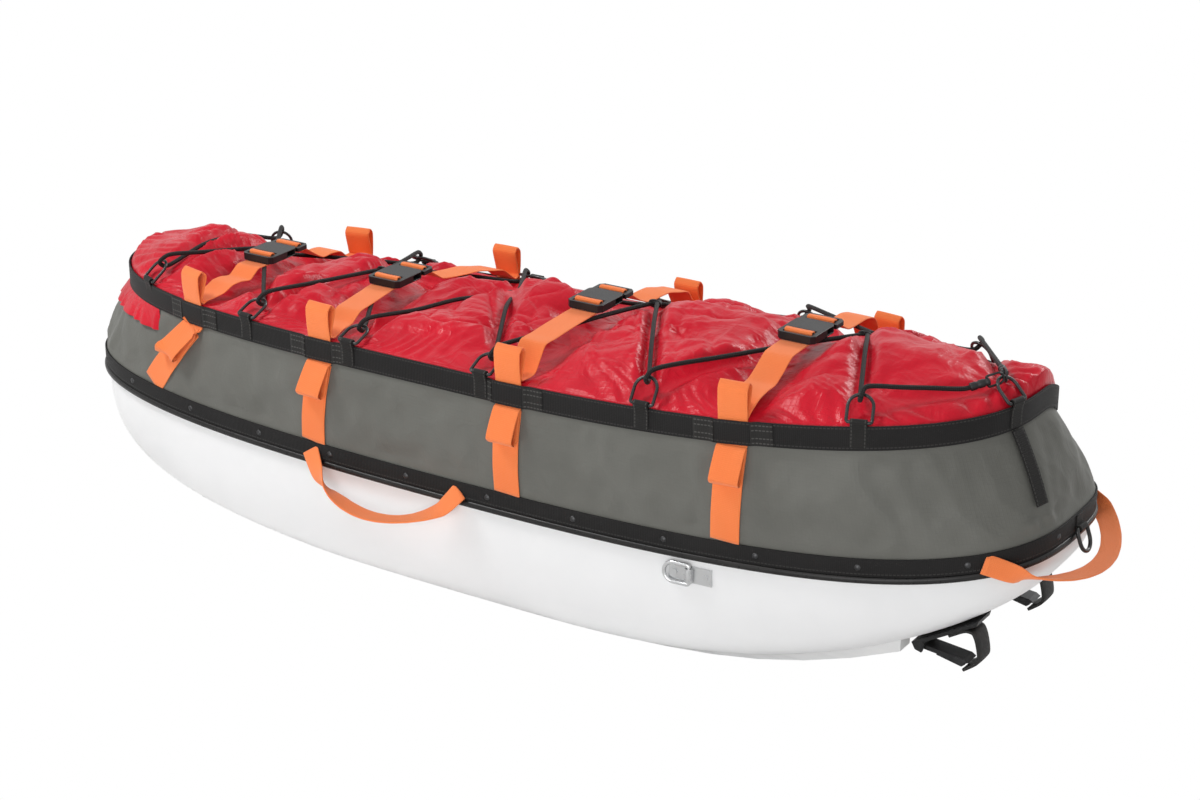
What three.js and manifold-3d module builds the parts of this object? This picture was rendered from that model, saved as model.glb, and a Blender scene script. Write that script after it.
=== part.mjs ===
// Fabric-topped pulk sled: moulded hull, fabric skirt, laced cover over a packed load,
// four buckled straps, tow-shaft clamps underneath.
// Millimetres. +X towards the tow end, -Y the near side, +Z up, the ground at zero.
import * as THREE from "three";
import Module from "manifold-3d";
import { mergeVertices } from "three/addons/utils/BufferGeometryUtils.js";

const wasm = await Module();
wasm.setup();

// Clearances
const fit = 0.3;
const clothFit = 0.6;
const overrun = 4;
const searchStep = 1;

// Plan outlines: superellipses with their own roundness at each end
const rimPlan = { middle: -12, front: 732, rear: 708, half: 231, farHalf: 231,
  frontRoundShares: [3.08, 3.11], rearRoundShares: [2.72, 4.88] };
const topPlan = { middle: -12, front: 680, rear: 716, half: 236, farHalf: 202,
  frontRoundShares: [3.35, 2.73], rearRoundShares: [2.76, 1.98] };

// Levels
const runner = { height: 8, width: 26, spacing: 226, rear: -545, front: 556, toeRise: 1.2,
  pointCount: 18 };
const hull = { depth: 177, wall: 4, flange: 27, sideRoundShare: 4.94, bilgeRoundShare: 2.9 };
const rim = { frontRise: 48, rearRise: 26, squareShare: 0.52 };
const rocker = { front: 137, frontStart: 80, frontShare: 2.35, rear: 22, rearStart: -260, rearShare: 1.25 };
const skirt = { height: 154, frontRise: 43, rearDrop: 24, farDrop: 40, sinkShare: 0.62,
  thickness: 1.6, belly: 6 };
const trim = { height: 8, proud: 2 };
const webbing = { thickness: 2, rimBand: 31, topBand: 30 };
const hullLevelAngles = [0, 12, 24, 38, 52, 64, 75, 84];
const cornerRankShares = [0.001, 0.00001];
const rimLevel = runner.height + hull.depth;

// Rivets through the rim band
const rivet = { spacing: 126, radius: 4, height: 1.6, sideCount: 6 };

// Cover and load
const cover = { thickness: 4, tuck: 8, shoulder: 7, crown: 44, strapDip: 15, strapDipWidth: 46 };
const coverRingShares = [1, 0.955, 0.87, 0.72, 0.52, 0.28];
const crownStationShares = [
  [-1, 0.1], [-0.86, 0.42], [-0.78, 0.34], [-0.64, -0.12], [-0.5, 0.12], [-0.34, -0.15],
  [-0.12, 0.26], [0.1, 0.25], [0.3, 0.85], [0.46, 0.82], [0.56, 0.72], [0.66, 0.86], [0.78, 0.55],
  [0.9, 0.28], [1, 0.32],
];
const crownRoundShare = 2.4;

// A place along the sled, from a share of the outline's own rear or front length
function alongPlan(plan, share) {
  return plan.middle + share * (share < 0 ? plan.rear : plan.front);
}

// Straps: place along the rim, at the top band and at the middle
const strap = { width: 38, thickness: 1.6, foldDrop: 40, foldRadius: 7, foldRise: 40 };
const strapPlaceShares = [
  { rim: -0.7684, band: -0.6453, top: -0.6411 },
  { rim: -0.339, band: -0.3073, top: -0.338 },
  { rim: 0.0943, band: 0.1132, top: 0.1147 },
  { rim: 0.5137, band: 0.5662, top: 0.5603 },
];
const strapPlaces = strapPlaceShares.map((shares) => ({
  rim: alongPlan(rimPlan, shares.rim),
  band: alongPlan(topPlan, shares.band),
  top: alongPlan(topPlan, shares.top),
}));

// Side-release buckles, lying across the sled
const buckle = { middle: -25, length: 84, width: 52, thickness: 10, bar: 4, slot: 7, end: 4, socketDepth: 32,
  socketHeight: 6.6, socketWidth: 36, prong: 7, prongLength: 27, corner: 5, lip: 2 };

// Lacing: rings on the top band, a cord in two zigzags, ties in the middle
const lacing = { cord: 6, ringWire: 4, ringHalf: 15, ringReach: 34,
  tabWidth: 20, tabLength: 27, tabThickness: 1.8,
  eyeWall: 1.8, eyeGap: 0.5, eyeLift: 5.2, tieOffset: 25, tieReach: 8, uprightShare: 0.97 };
const ringPlaceShares = [-0.8073, -0.4916, -0.2402, 0.0529, 0.3912, 0.7824];
const tiePlaceShares = [-0.7137, -0.4218, -0.1229, 0.2, 0.6412];
const ringPlaces = ringPlaceShares.map((share) => alongPlan(topPlan, share));
const tiePlaces = tiePlaceShares.map((share) => alongPlan(topPlan, share));
const frontRingOffset = -66;
const sleeve = { length: 24, diameter: 10, bore: 12, gap: 9, apart: 7.6,
  eyeHalf: 7, eyeReach: 20, eyeWire: 3 };

// Side plates with folding rings
const sidePlate = { middle: 318, drop: 21, length: 58, height: 22, thickness: 2, pinGap: 0.5,
  rivetShare: 0.36 };
const sideRing = { wire: 5, half: 13, reach: 34 };

// Ring hanging from a tab at the middle of the bow
const bowRing = { wire: 5, half: 14, reach: 30, tabWidth: 18, tabLength: 20, tabThickness: 2.2, eyeWall: 2 };

// Carrying handles of webbing
const handle = { width: 25, thickness: 2.2, sagShare: 0.55, bowShare: 0.8, endBowShare: 0.6,
  turnShare: 2.6, pointCount: 12 };
const sideHandle = { rear: -256, front: -14, sag: 52, bow: 34 };
const endHandle = { frontOffset: 142, frontReach: 32, frontSag: 34,
  rearOffset: 92, rearReach: 30, rearSag: 62 };

// Tow-shaft clamps under the bow
const clamp = { middle: 606, offset: 96, plateLength: 98, plateWidth: 38, plateThickness: 5,
  bandWidth: 32, bandThickness: 4, latchStartShare: 0.3,
  loop: 15, armLength: 62, armThickness: 6, lugWall: 4, pin: 5, latchLength: 34, latchThickness: 3.5 };

// Small red flap under the top band at the rear
const flap = { heightShare: 0.84, thickness: 1.2, frontEndShare: -0.7654 };

const rad = THREE.MathUtils.degToRad;
const vector = (x, y, z) => new THREE.Vector3(x, y, z);
const up = vector(0, 0, 1);

// Shares along and across a plan outline
function endShare(plan, x) {
  return (x - plan.middle) / (x > plan.middle ? plan.front : plan.rear);
}

function halfAt(plan, x, inset, side) {
  const shares = x > plan.middle ? plan.frontRoundShares : plan.rearRoundShares;
  const length = (x > plan.middle ? plan.front : plan.rear) - inset;
  const u = Math.min(1, Math.abs(x - plan.middle) / length);
  const half = side > 0 ? plan.farHalf : plan.half;
  return (half - inset) * (1 - u ** shares[0]) ** (1 / shares[1]);
}

function planPoint(plan, station, inset, share) {
  const shares = station.c > 0 ? plan.frontRoundShares : plan.rearRoundShares;
  const length = (station.c > 0 ? plan.front : plan.rear) - inset;
  const x = length * share * Math.sign(station.c) * Math.abs(station.c) ** (2 / shares[0]);
  const half = station.s > 0 ? plan.farHalf : plan.half;
  const y = (half - inset) * share * Math.sign(station.s) * Math.abs(station.s) ** (2 / shares[1]);
  return { x: plan.middle + x, y };
}

// Heights of the rim, the top band and the hull's bottom along the sled
function rimHeight(x) {
  const u = endShare(rimPlan, x);
  const rise = rim.squareShare * u ** 2 + (1 - rim.squareShare) * u ** 6;
  return rimLevel + (u > 0 ? rim.frontRise : rim.rearRise) * rise;
}

function bandHeight(x, y) {
  const u = endShare(topPlan, x);
  const sunk = skirt.farDrop * THREE.MathUtils.smoothstep(y, 0, skirt.sinkShare * topPlan.farHalf);
  return rimLevel + skirt.height + (u > 0 ? skirt.frontRise : -skirt.rearDrop) * u ** 2 - sunk;
}

function bottomHeight(x) {
  const ahead = Math.max(0, x - rocker.frontStart) / (rimPlan.middle + rimPlan.front - rocker.frontStart);
  const behind = Math.max(0, rocker.rearStart - x) / (rocker.rearStart - rimPlan.middle + rimPlan.rear);
  return runner.height + rocker.front * ahead ** rocker.frontShare + rocker.rear * behind ** rocker.rearShare;
}

// Stations around the sled: even steps of length and turn, and one at each strap
function makeStations(count) {
  const fineCount = 1440;
  const turnWeight = 150;
  const at = (i) => {
    const angle = (2 * Math.PI * i) / fineCount;
    return { angle, c: Math.cos(angle), s: Math.sin(angle) };
  };
  const points = Array.from({ length: fineCount + 1 }, (_, i) => planPoint(rimPlan, at(i), 0, 1));
  const sums = [0];
  for (let i = 1; i <= fineCount; i += 1) {
    const before = points[(i - 2 + fineCount) % fineCount];
    const a = points[i - 1];
    const b = points[i];
    const step = Math.hypot(b.x - a.x, b.y - a.y);
    const first = Math.atan2(a.y - before.y, a.x - before.x);
    const turn = Math.atan2(b.y - a.y, b.x - a.x) - first;
    sums.push(sums[i - 1] + step + turnWeight * Math.abs(Math.atan2(Math.sin(turn), Math.cos(turn))));
  }
  const stations = [];
  for (let k = 0; k < count; k += 1) {
    const target = (sums[fineCount] * k) / count;
    stations.push(at(sums.findIndex((sum) => sum >= target)));
  }
  return stations;
}

function angleOf(plan, x, side) {
  const shares = x > plan.middle ? plan.frontRoundShares : plan.rearRoundShares;
  const u = endShare(plan, x);
  const c = Math.sign(u) * Math.abs(u) ** (shares[0] / 2);
  const angle = Math.acos(c) * side;
  return { angle: (angle + 2 * Math.PI) % (2 * Math.PI), c, s: Math.sin(angle) };
}

const stationCount = 40;
const stations = makeStations(stationCount);
for (const side of [-1, 1]) {
  for (const place of strapPlaces) stations.push(angleOf(topPlan, place.band, side));
}
stations.sort((a, b) => a.angle - b.angle);

// Closed skin through rings of points; open rows are capped with a fan, closed rows join up
const cornerRank = (p) => p.z + cornerRankShares[0] * Math.abs(p.x) + cornerRankShares[1] * p.y;

function loft(rings, closed) {
  const size = rings[0].length;
  const positions = rings.flat().flatMap((p) => [p.x, p.y, p.z]);
  const faces = [];
  const rowCount = closed ? rings.length : rings.length - 1;
  for (let r = 0; r < rowCount; r += 1) {
    const next = (r + 1) % rings.length;
    for (let i = 0; i < size; i += 1) {
      const j = (i + 1) % size;
      const corners = [[r, i], [r, j], [next, j], [next, i]];
      const ranks = corners.map(([row, k]) => cornerRank(rings[row][k]));
      const first = ranks.indexOf(Math.max(...ranks));
      const turned = [0, 1, 2, 3].map((k) => corners[(first + k) % corners.length]);
      const [a, b, c, d] = turned.map(([row, k]) => row * size + k);
      faces.push(a, b, c, a, c, d);
    }
  }
  if (!closed) {
    for (const [row, flip] of [[0, true], [rings.length - 1, false]]) {
      const middle = rings[row].reduce((sum, p) => sum.add(p), vector(0, 0, 0)).multiplyScalar(1 / size);
      const hub = positions.length / 3;
      positions.push(middle.x, middle.y, middle.z);
      for (let i = 0; i < size; i += 1) {
        const a = row * size + i;
        const b = row * size + ((i + 1) % size);
        faces.push(...(flip ? [hub, b, a] : [hub, a, b]));
      }
    }
  }
  const geometry = new THREE.BufferGeometry();
  geometry.setAttribute("position", new THREE.Float32BufferAttribute(positions, 3));
  geometry.setIndex(volumeOf(positions, faces) < 0 ? faces.toReversed() : faces);
  geometry.computeVertexNormals();
  return geometry;
}

function volumeOf(positions, faces) {
  let sum = 0;
  const at = (i) => vector(positions[3 * i], positions[3 * i + 1], positions[3 * i + 2]);
  for (let k = 0; k < faces.length; k += 3) {
    sum += at(faces[k]).dot(at(faces[k + 1]).cross(at(faces[k + 2])));
  }
  return sum;
}

// Joins and cuts
function solidOf(geometry) {
  const bare = new THREE.BufferGeometry();
  bare.setAttribute("position", geometry.getAttribute("position").clone());
  bare.setIndex(geometry.getIndex());
  const merged = mergeVertices(bare, fit / 1000);
  const vertProperties = new Float32Array(merged.getAttribute("position").array);
  const triVerts = new Uint32Array(merged.getIndex().array);
  return new wasm.Manifold(new wasm.Mesh({ numProp: 3, vertProperties, triVerts }));
}

function geometryOf(solid) {
  const mesh = solid.getMesh();
  const geometry = new THREE.BufferGeometry();
  geometry.setAttribute("position", new THREE.Float32BufferAttribute(Array.from(mesh.vertProperties), 3));
  geometry.setIndex(Array.from(mesh.triVerts));
  geometry.computeVertexNormals();
  return geometry;
}

function joined(geometries) {
  return geometryOf(geometries.map(solidOf).reduce((sum, solid) => sum.add(solid)));
}

function cut(geometry, cutters) {
  return geometryOf(cutters.map(solidOf).reduce((sum, solid) => sum.subtract(solid), solidOf(geometry)));
}

// Group and mesh making
const group = new THREE.Group();
const looks = {
  hull: { color: 0xeaeaeb, roughness: 0.35, metalness: 0 },
  grey: { color: 0x5c5c58, roughness: 0.7, metalness: 0 },
  black: { color: 0x2b2a29, roughness: 0.8, metalness: 0 },
  rubber: { color: 0x1c1c1c, roughness: 0.6, metalness: 0 },
  red: { color: 0xb0303a, roughness: 0.55, metalness: 0 },
  orange: { color: 0xff8a4d, roughness: 0.75, metalness: 0 },
  plastic: { color: 0x242424, roughness: 0.4, metalness: 0 },
  steel: { color: 0xc8c8c8, roughness: 0.3, metalness: 1 },
  blackWire: { color: 0x1a1a1a, roughness: 0.35, metalness: 0.6 },
  load: { color: 0x777777, roughness: 0.9, metalness: 0 },
};

function add(name, geometry, look) {
  const mesh = new THREE.Mesh(geometry, new THREE.MeshStandardMaterial(look));
  mesh.name = name;
  group.add(mesh);
  return mesh;
}

// First surface met by a ray, as a distance along it
const raycaster = new THREE.Raycaster();
function probe(meshes, from, direction) {
  raycaster.set(from, direction);
  const hits = raycaster.intersectObjects(meshes, false);
  return hits.length ? hits[0] : null;
}

const skyHeight = rimLevel + 3 * skirt.height;
function topOf(meshes, x, y) {
  const hit = probe(meshes, vector(x, y, skyHeight), vector(0, 0, -1));
  return hit ? hit.point.z : -Infinity;
}

function highestIn(meshes, x, y, halfX, halfY) {
  const shares = [-1, -0.75, -0.5, -0.25, 0, 0.25, 0.5, 0.75, 1];
  return Math.max(...shares.flatMap((a) => shares.map((b) => topOf(meshes, x + a * halfX, y + b * halfY))));
}

// How far out from a base line the surface reaches, over a width along the edge
function reachOf(meshes, base, frame, width) {
  const start = 2 * rimPlan.half;
  let reach = -Infinity;
  for (const share of [-0.5, -0.25, 0, 0.25, 0.5]) {
    const from = base.clone().addScaledVector(frame.along, share * width).addScaledVector(frame.out, start);
    const hit = probe(meshes, from, frame.out.clone().negate());
    if (hit) reach = Math.max(reach, start - hit.distance);
  }
  return reach;
}

// Insets of the layers under a band: band, skirt, hull or cover
const skirtInset = webbing.thickness + fit;
const innerInset = skirtInset + skirt.thickness + fit;

// Hull: one bowl, outside and inside levels joined over the flange
function hullRing(levelAngle, inset) {
  const share = Math.cos(rad(levelAngle)) ** (2 / hull.sideRoundShare);
  const depthShare = Math.sin(rad(levelAngle)) ** (2 / hull.bilgeRoundShare);
  return stations.map((station) => {
    const edge = planPoint(rimPlan, station, 0, 1);
    const p = planPoint(rimPlan, station, innerInset + inset, share);
    const floor = bottomHeight(p.x) + inset;
    return vector(p.x, p.y, rimHeight(edge.x) * (1 - depthShare) + floor * depthShare);
  });
}

function flangeRing(inset) {
  return stations.map((station) => {
    const edge = planPoint(rimPlan, station, 0, 1);
    const p = planPoint(rimPlan, station, innerInset + inset, 1);
    return vector(p.x, p.y, rimHeight(edge.x) + hull.flange);
  });
}

function makeHull() {
  const outside = hullLevelAngles.map((angle) => hullRing(angle, 0));
  const inside = hullLevelAngles.map((angle) => hullRing(angle, hull.wall)).reverse();
  return loft([...inside, flangeRing(hull.wall), flangeRing(0), ...outside], false);
}
const hullMesh = add("hull", makeHull(), looks.hull);

// The hull's outside as a filled body, for cutting what lies against it
function hullBody() {
  return loft([flangeRing(0), ...hullLevelAngles.map((angle) => hullRing(angle, 0))], false);
}

// Runners: flat strips under the hull that follow its rocker
function makeRunner(side) {
  const y = (side * runner.spacing) / 2;
  const across = [y - runner.width / 2, y + runner.width / 2];
  const hullOver = (x, edge) => probe([hullMesh], vector(x, edge, -skyHeight), up).point.z;
  const lowestOver = (x) => Math.min(...across.map((edge) => hullOver(x, edge)));
  const depth = Math.max(...[rocker.rearStart, rocker.frontStart].map(lowestOver));
  const rings = [];
  for (let i = 0; i < runner.pointCount; i += 1) {
    const x = runner.rear + ((runner.front - runner.rear) * i) / (runner.pointCount - 1);
    const tops = across.map((edge) => hullOver(x, edge) + hull.wall / 2);
    const rise = lowestOver(x) - depth;
    const low = rise > fit ? rise + runner.toeRise : 0;
    rings.push([
      vector(x, across[0], low), vector(x, across[1], low),
      vector(x, across[1], tops[1]), vector(x, across[0], tops[0]),
    ]);
  }
  return cut(loft(rings, false), [hullBody().translate(0, 0, -fit)]);
}
add("runner_near", makeRunner(-1), looks.plastic);
add("runner_far", makeRunner(1), looks.plastic);

// Bands that run round the sled: a plain rectangle at each station
function bandRings(plan, height, low, high, outer, inner) {
  return stations.map((station) => {
    const edge = planPoint(plan, station, 0, 1);
    const out = planPoint(plan, station, outer, 1);
    const inside = planPoint(plan, station, inner, 1);
    const z = height(edge.x, edge.y);
    return [
      vector(out.x, out.y, z + low), vector(out.x, out.y, z + high),
      vector(inside.x, inside.y, z + high), vector(inside.x, inside.y, z + low),
    ];
  });
}

// Place on a plan outline at x, with the outward and the along direction
function edgeFrame(plan, x, side, inset) {
  const step = 0.5 * strap.thickness;
  const y = side * halfAt(plan, x, inset, side);
  const turn = halfAt(plan, x + step, inset, side) - halfAt(plan, x - step, inset, side);
  const ahead = vector(2 * step, side * turn, 0).normalize();
  return { point: vector(x, y, 0), along: ahead, out: vector(side * -ahead.y, side * ahead.x, 0) };
}

// Turns a shape drawn as (outward, up) and pushed along the edge into place
function placed(geometry, origin, out, upward) {
  const across = out.clone().cross(upward);
  const matrix = new THREE.Matrix4().makeBasis(out, upward, across).setPosition(origin);
  return geometry.applyMatrix4(matrix);
}

function pushed(shape, depth, curveCount) {
  const settings = { depth, bevelEnabled: false, curveSegments: curveCount, steps: 1 };
  const geometry = new THREE.ExtrudeGeometry(shape, settings);
  return geometry.translate(0, 0, -depth / 2);
}

function polygon(points) {
  return new THREE.Shape(points.map(([x, y]) => new THREE.Vector2(x, y)));
}

// Webbing tab: a sewn plate with a barrel at one end, rolled round a ring's straight bar
function eyeTab(plateLow, plateHigh, thickness, eye, width) {
  const root = 0.9 * webbing.thickness;
  const plate = polygon([[-root, plateLow], [thickness, plateLow],
    [thickness, plateHigh], [-root, plateHigh]]);
  const barrel = new THREE.Shape();
  barrel.absarc(eye.x, eye.y, eye.outer, 0, 2 * Math.PI, false);
  const bore = new THREE.Shape();
  bore.absarc(eye.x, eye.y, eye.bore, 0, 2 * Math.PI, false);
  const solids = [pushed(plate, width, 1), pushed(barrel, width, 5)];
  return { solids, bore: pushed(bore, width + overrun, 4) };
}

function placedTab(tab, frame, origin) {
  return {
    solids: tab.solids.map((solid) => placed(solid, origin, frame.out, up)),
    bore: placed(tab.bore, origin, frame.out, up),
  };
}

// Rim trim, rim band with its rivets and the bow ring's tab
const trimRings = bandRings(rimPlan, rimHeight, 0, trim.height, -trim.proud, innerInset - fit);
add("rim_trim", loft(trimRings, true), looks.rubber);

const bowEyeOuter = bowRing.wire / 2 + lacing.eyeGap + bowRing.eyeWall;
const bowEye = { x: bowEyeOuter - lacing.eyeGap, y: bowEyeOuter + fit, outer: bowEyeOuter,
  bore: bowRing.wire / 2 + lacing.eyeGap };
const rimBandRings = bandRings(rimPlan, rimHeight, trim.height + fit, webbing.rimBand, 0, webbing.thickness);
const rimBandMesh = new THREE.Mesh(loft(rimBandRings, true), new THREE.MeshStandardMaterial());
const bowTip = rimPlan.middle + rimPlan.front;
const bowFrame = { along: vector(0, 1, 0), out: vector(1, 0, 0),
  point: vector(bowTip, 0, rimHeight(bowTip) + trim.height + fit) };

function rivetHead() {
  const root = -webbing.thickness / 2;
  const profile = [[0, root], [rivet.radius, root], [rivet.radius / 2, rivet.height], [0, rivet.height]];
  const geometry = new THREE.LatheGeometry(profile.map(([x, y]) => new THREE.Vector2(x, y)), rivet.sideCount);
  return geometry.rotateZ(-Math.PI / 2);
}

function rivetPlaces() {
  const fine = makeStations(720).map((station) => planPoint(rimPlan, station, 0, 1));
  const places = [];
  let run = rivet.spacing / 2;
  for (let i = 1; i < fine.length; i += 1) {
    const a = fine[i - 1];
    const b = fine[i];
    run += Math.hypot(b.x - a.x, b.y - a.y);
    if (run >= rivet.spacing) {
      run -= rivet.spacing;
      const out = vector(b.y - a.y, a.x - b.x, 0).normalize();
      places.push({ x: (a.x + b.x) / 2, y: (a.y + b.y) / 2, out });
    }
  }
  return places;
}

function makeRimBand() {
  const level = (trim.height + fit + webbing.rimBand) / 2;
  const heads = rivetPlaces().map((place) => {
    const middle = vector(place.x, place.y, rimHeight(place.x) + level);
    const from = middle.clone().addScaledVector(place.out, 10 * rivet.radius);
    const seat = probe([rimBandMesh], from, place.out.clone().negate()).point;
    return placed(rivetHead(), seat, place.out, up);
  });
  const plateTop = bowEye.y + bowRing.tabLength - bowEye.outer;
  const plain = eyeTab(bowEye.y, plateTop, bowRing.tabThickness, bowEye, bowRing.tabWidth);
  const tab = placedTab(plain, bowFrame, bowFrame.point);
  return cut(joined([rimBandMesh.geometry, ...heads, ...tab.solids]), [tab.bore]);
}
add("rim_band", makeRimBand(), looks.black);

// Skirt: from behind the rim band up into the top band, with a slight belly
const skirtRowShares = [0, 0.3, 0.65, 1];
function skirtRows(inset) {
  const rows = [];
  rows.push(stations.map((station) => {
    const edge = planPoint(rimPlan, station, 0, 1);
    const p = planPoint(rimPlan, station, inset, 1);
    return vector(p.x, p.y, rimHeight(edge.x) + trim.height + fit);
  }));
  for (const share of skirtRowShares) {
    rows.push(stations.map((station) => {
      const rimEdge = planPoint(rimPlan, station, 0, 1);
      const topEdge = planPoint(topPlan, station, 0, 1);
      const low = planPoint(rimPlan, station, inset, 1);
      const high = planPoint(topPlan, station, inset, 1);
      const swell = planPoint(rimPlan, station, inset - skirt.belly, 1);
      const bellyShare = 4 * share * (1 - share);
      const bottom = rimHeight(rimEdge.x) + webbing.rimBand;
      return vector(
        low.x + (high.x - low.x) * share + (swell.x - low.x) * bellyShare,
        low.y + (high.y - low.y) * share + (swell.y - low.y) * bellyShare,
        bottom + (bandHeight(topEdge.x, topEdge.y) - bottom) * share,
      );
    }));
  }
  rows.push(stations.map((station) => {
    const edge = planPoint(topPlan, station, 0, 1);
    const p = planPoint(topPlan, station, inset, 1);
    return vector(p.x, p.y, bandTop(edge.x, edge.y));
  }));
  return rows;
}
const skirtInner = skirtRows(skirtInset + skirt.thickness);
const skirtSkin = loft([...skirtRows(skirtInset), ...skirtInner.toReversed()], true);
const skirtMesh = add("skirt", skirtSkin, looks.grey);

// Cover: a crown between the bands, drawn down under each strap
function bandTop(x, y) {
  return bandHeight(x, y) + webbing.topBand;
}

function stationValue(table, u) {
  const next = Math.max(1, table.findIndex(([place]) => place >= u));
  const [a, b] = [table[next - 1], table[next]];
  const t = THREE.MathUtils.smoothstep(u, a[0], b[0]);
  return a[1] + (b[1] - a[1]) * t;
}

function crownHeight(x, y) {
  const u = THREE.MathUtils.clamp(endShare(topPlan, x), -1, 1);
  const v = Math.min(1, Math.abs(y) / Math.max(topPlan.half / 10, halfAt(topPlan, x, innerInset, y)));
  const crown = cover.crown * stationValue(crownStationShares, u) * (1 - v ** crownRoundShare);
  const dips = strapPlaces.map((place) => {
    const middle = place.top + (place.band - place.top) * v;
    return Math.exp(-(((x - middle) / cover.strapDipWidth) ** 2));
  });
  const dip = cover.strapDip * Math.max(...dips) * (1 - v ** 6);
  return bandTop(x, y) + cover.shoulder * (1 - v ** 8) + crown - dip;
}

function coverRings(drop) {
  return coverRingShares.map((share, i) => stations.map((station) => {
    const p = planPoint(topPlan, station, innerInset, share);
    const edge = planPoint(topPlan, station, innerInset, 1);
    const z = i === 0 ? bandTop(edge.x, edge.y) - cover.tuck : crownHeight(p.x, p.y);
    return vector(p.x, p.y, z - drop);
  }));
}
const coverSkin = loft([...coverRings(0).toReversed(), ...coverRings(cover.thickness)], false);
const coverMesh = add("cover", coverSkin, looks.red);

// Packed load: fills the hull and the skirt up to the cover
function makeLoad() {
  const lowAngles = [84, 64, 38, 12];
  const lows = lowAngles.map((angle) => hullRing(angle, hull.wall + clothFit + (angle < 80 ? overrun : 0)));
  const shoulder = flangeRing(hull.wall + overrun).map((p) => p.add(vector(0, 0, overrun)));
  const rows = [2, 3, 4, 5].map((k) => stations.map((station, i) => {
    const wall = skirtInner[k][i];
    const inset = planPoint(topPlan, station, overrun, 1);
    const plain = planPoint(topPlan, station, 0, 1);
    const z = k === 5 ? bandTop(plain.x, plain.y) - cover.tuck - cover.thickness - fit : wall.z;
    return vector(wall.x + inset.x - plain.x, wall.y + inset.y - plain.y, z);
  }));
  const tops = coverRings(cover.thickness + fit).slice(1);
  return loft([...lows, shoulder, ...rows, ...tops], false);
}
add("packed_load", makeLoad(), looks.load);

// Rear flap of the cover, hanging over the skirt under the top band
function makeFlap() {
  const rings = [];
  const [lows, highs] = skirtRows(skirtInset).slice(3, 5);
  for (const [i, station] of stations.entries()) {
    const edge = planPoint(topPlan, station, 0, 1);
    if (edge.x > alongPlan(topPlan, flap.frontEndShare)) continue;
    const unit = planPoint(topPlan, station, 1, 1);
    const out = vector(edge.x - unit.x, edge.y - unit.y, 0);
    const foot = highs[i].clone().lerp(lows[i], flap.heightShare);
    const top = highs[i].clone().sub(vector(0, 0, fit));
    const step = (p, distance) => p.clone().addScaledVector(out, distance);
    const face = 2 * fit + flap.thickness;
    rings.push([step(foot, -overrun), step(foot, face), step(top, face), step(top, -overrun)]);
  }
  return cut(loft(rings, false), [loft(skirtRows(skirtInset - fit), false)]);
}
add("rear_flap", makeFlap(), looks.red);

// Straps as a flat section carried along a path of points, each with its across direction
function ribbon(points, width, thickness) {
  const rings = points.map(({ point, across }, i) => {
    const before = i > 0 ? point.clone().sub(points[i - 1].point).normalize() : null;
    const after = i < points.length - 1 ? points[i + 1].point.clone().sub(point).normalize() : null;
    const ahead = (before && after ? before.clone().add(after) : (before ?? after).clone()).normalize();
    const face = across.clone().cross(ahead).normalize();
    const halfTurn = before && after ? Math.sqrt(Math.max(0.25, (1 + before.dot(after)) / 2)) : 1;
    const lift = face.multiplyScalar(thickness / 2 / halfTurn);
    const side = across.clone().multiplyScalar(width / 2);
    return [
      point.clone().add(side).add(lift), point.clone().add(side).sub(lift),
      point.clone().sub(side).sub(lift), point.clone().sub(side).add(lift),
    ];
  });
  return loft(rings, false);
}

// A ring bent from wire: straight bar at the start, arms and a round bow
function wireRing(half, reach, wire, sideCount) {
  const bow = 4;
  const path = [[-half, 0], [half, 0], [half, reach - half]];
  for (let i = 1; i < bow; i += 1) {
    const angle = (Math.PI * i) / bow;
    path.push([half * Math.cos(angle), reach - half + half * Math.sin(angle)]);
  }
  path.push([-half, reach - half]);
  const rings = path.map(([u, v], i) => {
    const [pu, pv] = path[(i + path.length - 1) % path.length];
    const [nu, nv] = path[(i + 1) % path.length];
    const before = vector(u - pu, v - pv, 0).normalize();
    const after = vector(nu - u, nv - v, 0).normalize();
    const ahead = before.clone().add(after).normalize();
    const side = vector(ahead.y, -ahead.x, 0).multiplyScalar(1 / Math.sqrt((1 + before.dot(after)) / 2));
    return Array.from({ length: sideCount }, (_, k) => {
      const angle = (2 * Math.PI * (k + 0.5)) / sideCount;
      const lift = vector(0, 0, (wire / 2) * Math.sin(angle));
      return vector(u, v, 0).addScaledVector(side, (wire / 2) * Math.cos(angle)).add(lift);
    });
  });
  return loft(rings, true);
}

// Puts a ring's bar at a point, with its bar along one direction and its bow towards another
function ringAt(geometry, origin, barAlong, towards) {
  const normal = barAlong.clone().cross(towards).normalize();
  const reach = normal.clone().cross(barAlong).normalize();
  return geometry.applyMatrix4(new THREE.Matrix4().makeBasis(barAlong, reach, normal).setPosition(origin));
}

// Lacing rings: the bar in the tab's eye, the bow lying over the cover towards the middle
const cordRadius = lacing.cord / 2;
const wireRadius = lacing.ringWire / 2;
const cordStep = cordRadius + wireRadius + clothFit;
const turnHeightShare = 1.7;
const turnDepthShare = 1.6;
const lacingEye = { x: lacing.tabThickness / 2, y: lacing.eyeLift,
  outer: wireRadius + lacing.eyeGap + lacing.eyeWall, bore: wireRadius + lacing.eyeGap };

const topBandRings = bandRings(topPlan, bandHeight, 0, webbing.topBand, 0, webbing.thickness);
const topBandMesh = new THREE.Mesh(loft(topBandRings, true), new THREE.MeshStandardMaterial());

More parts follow.
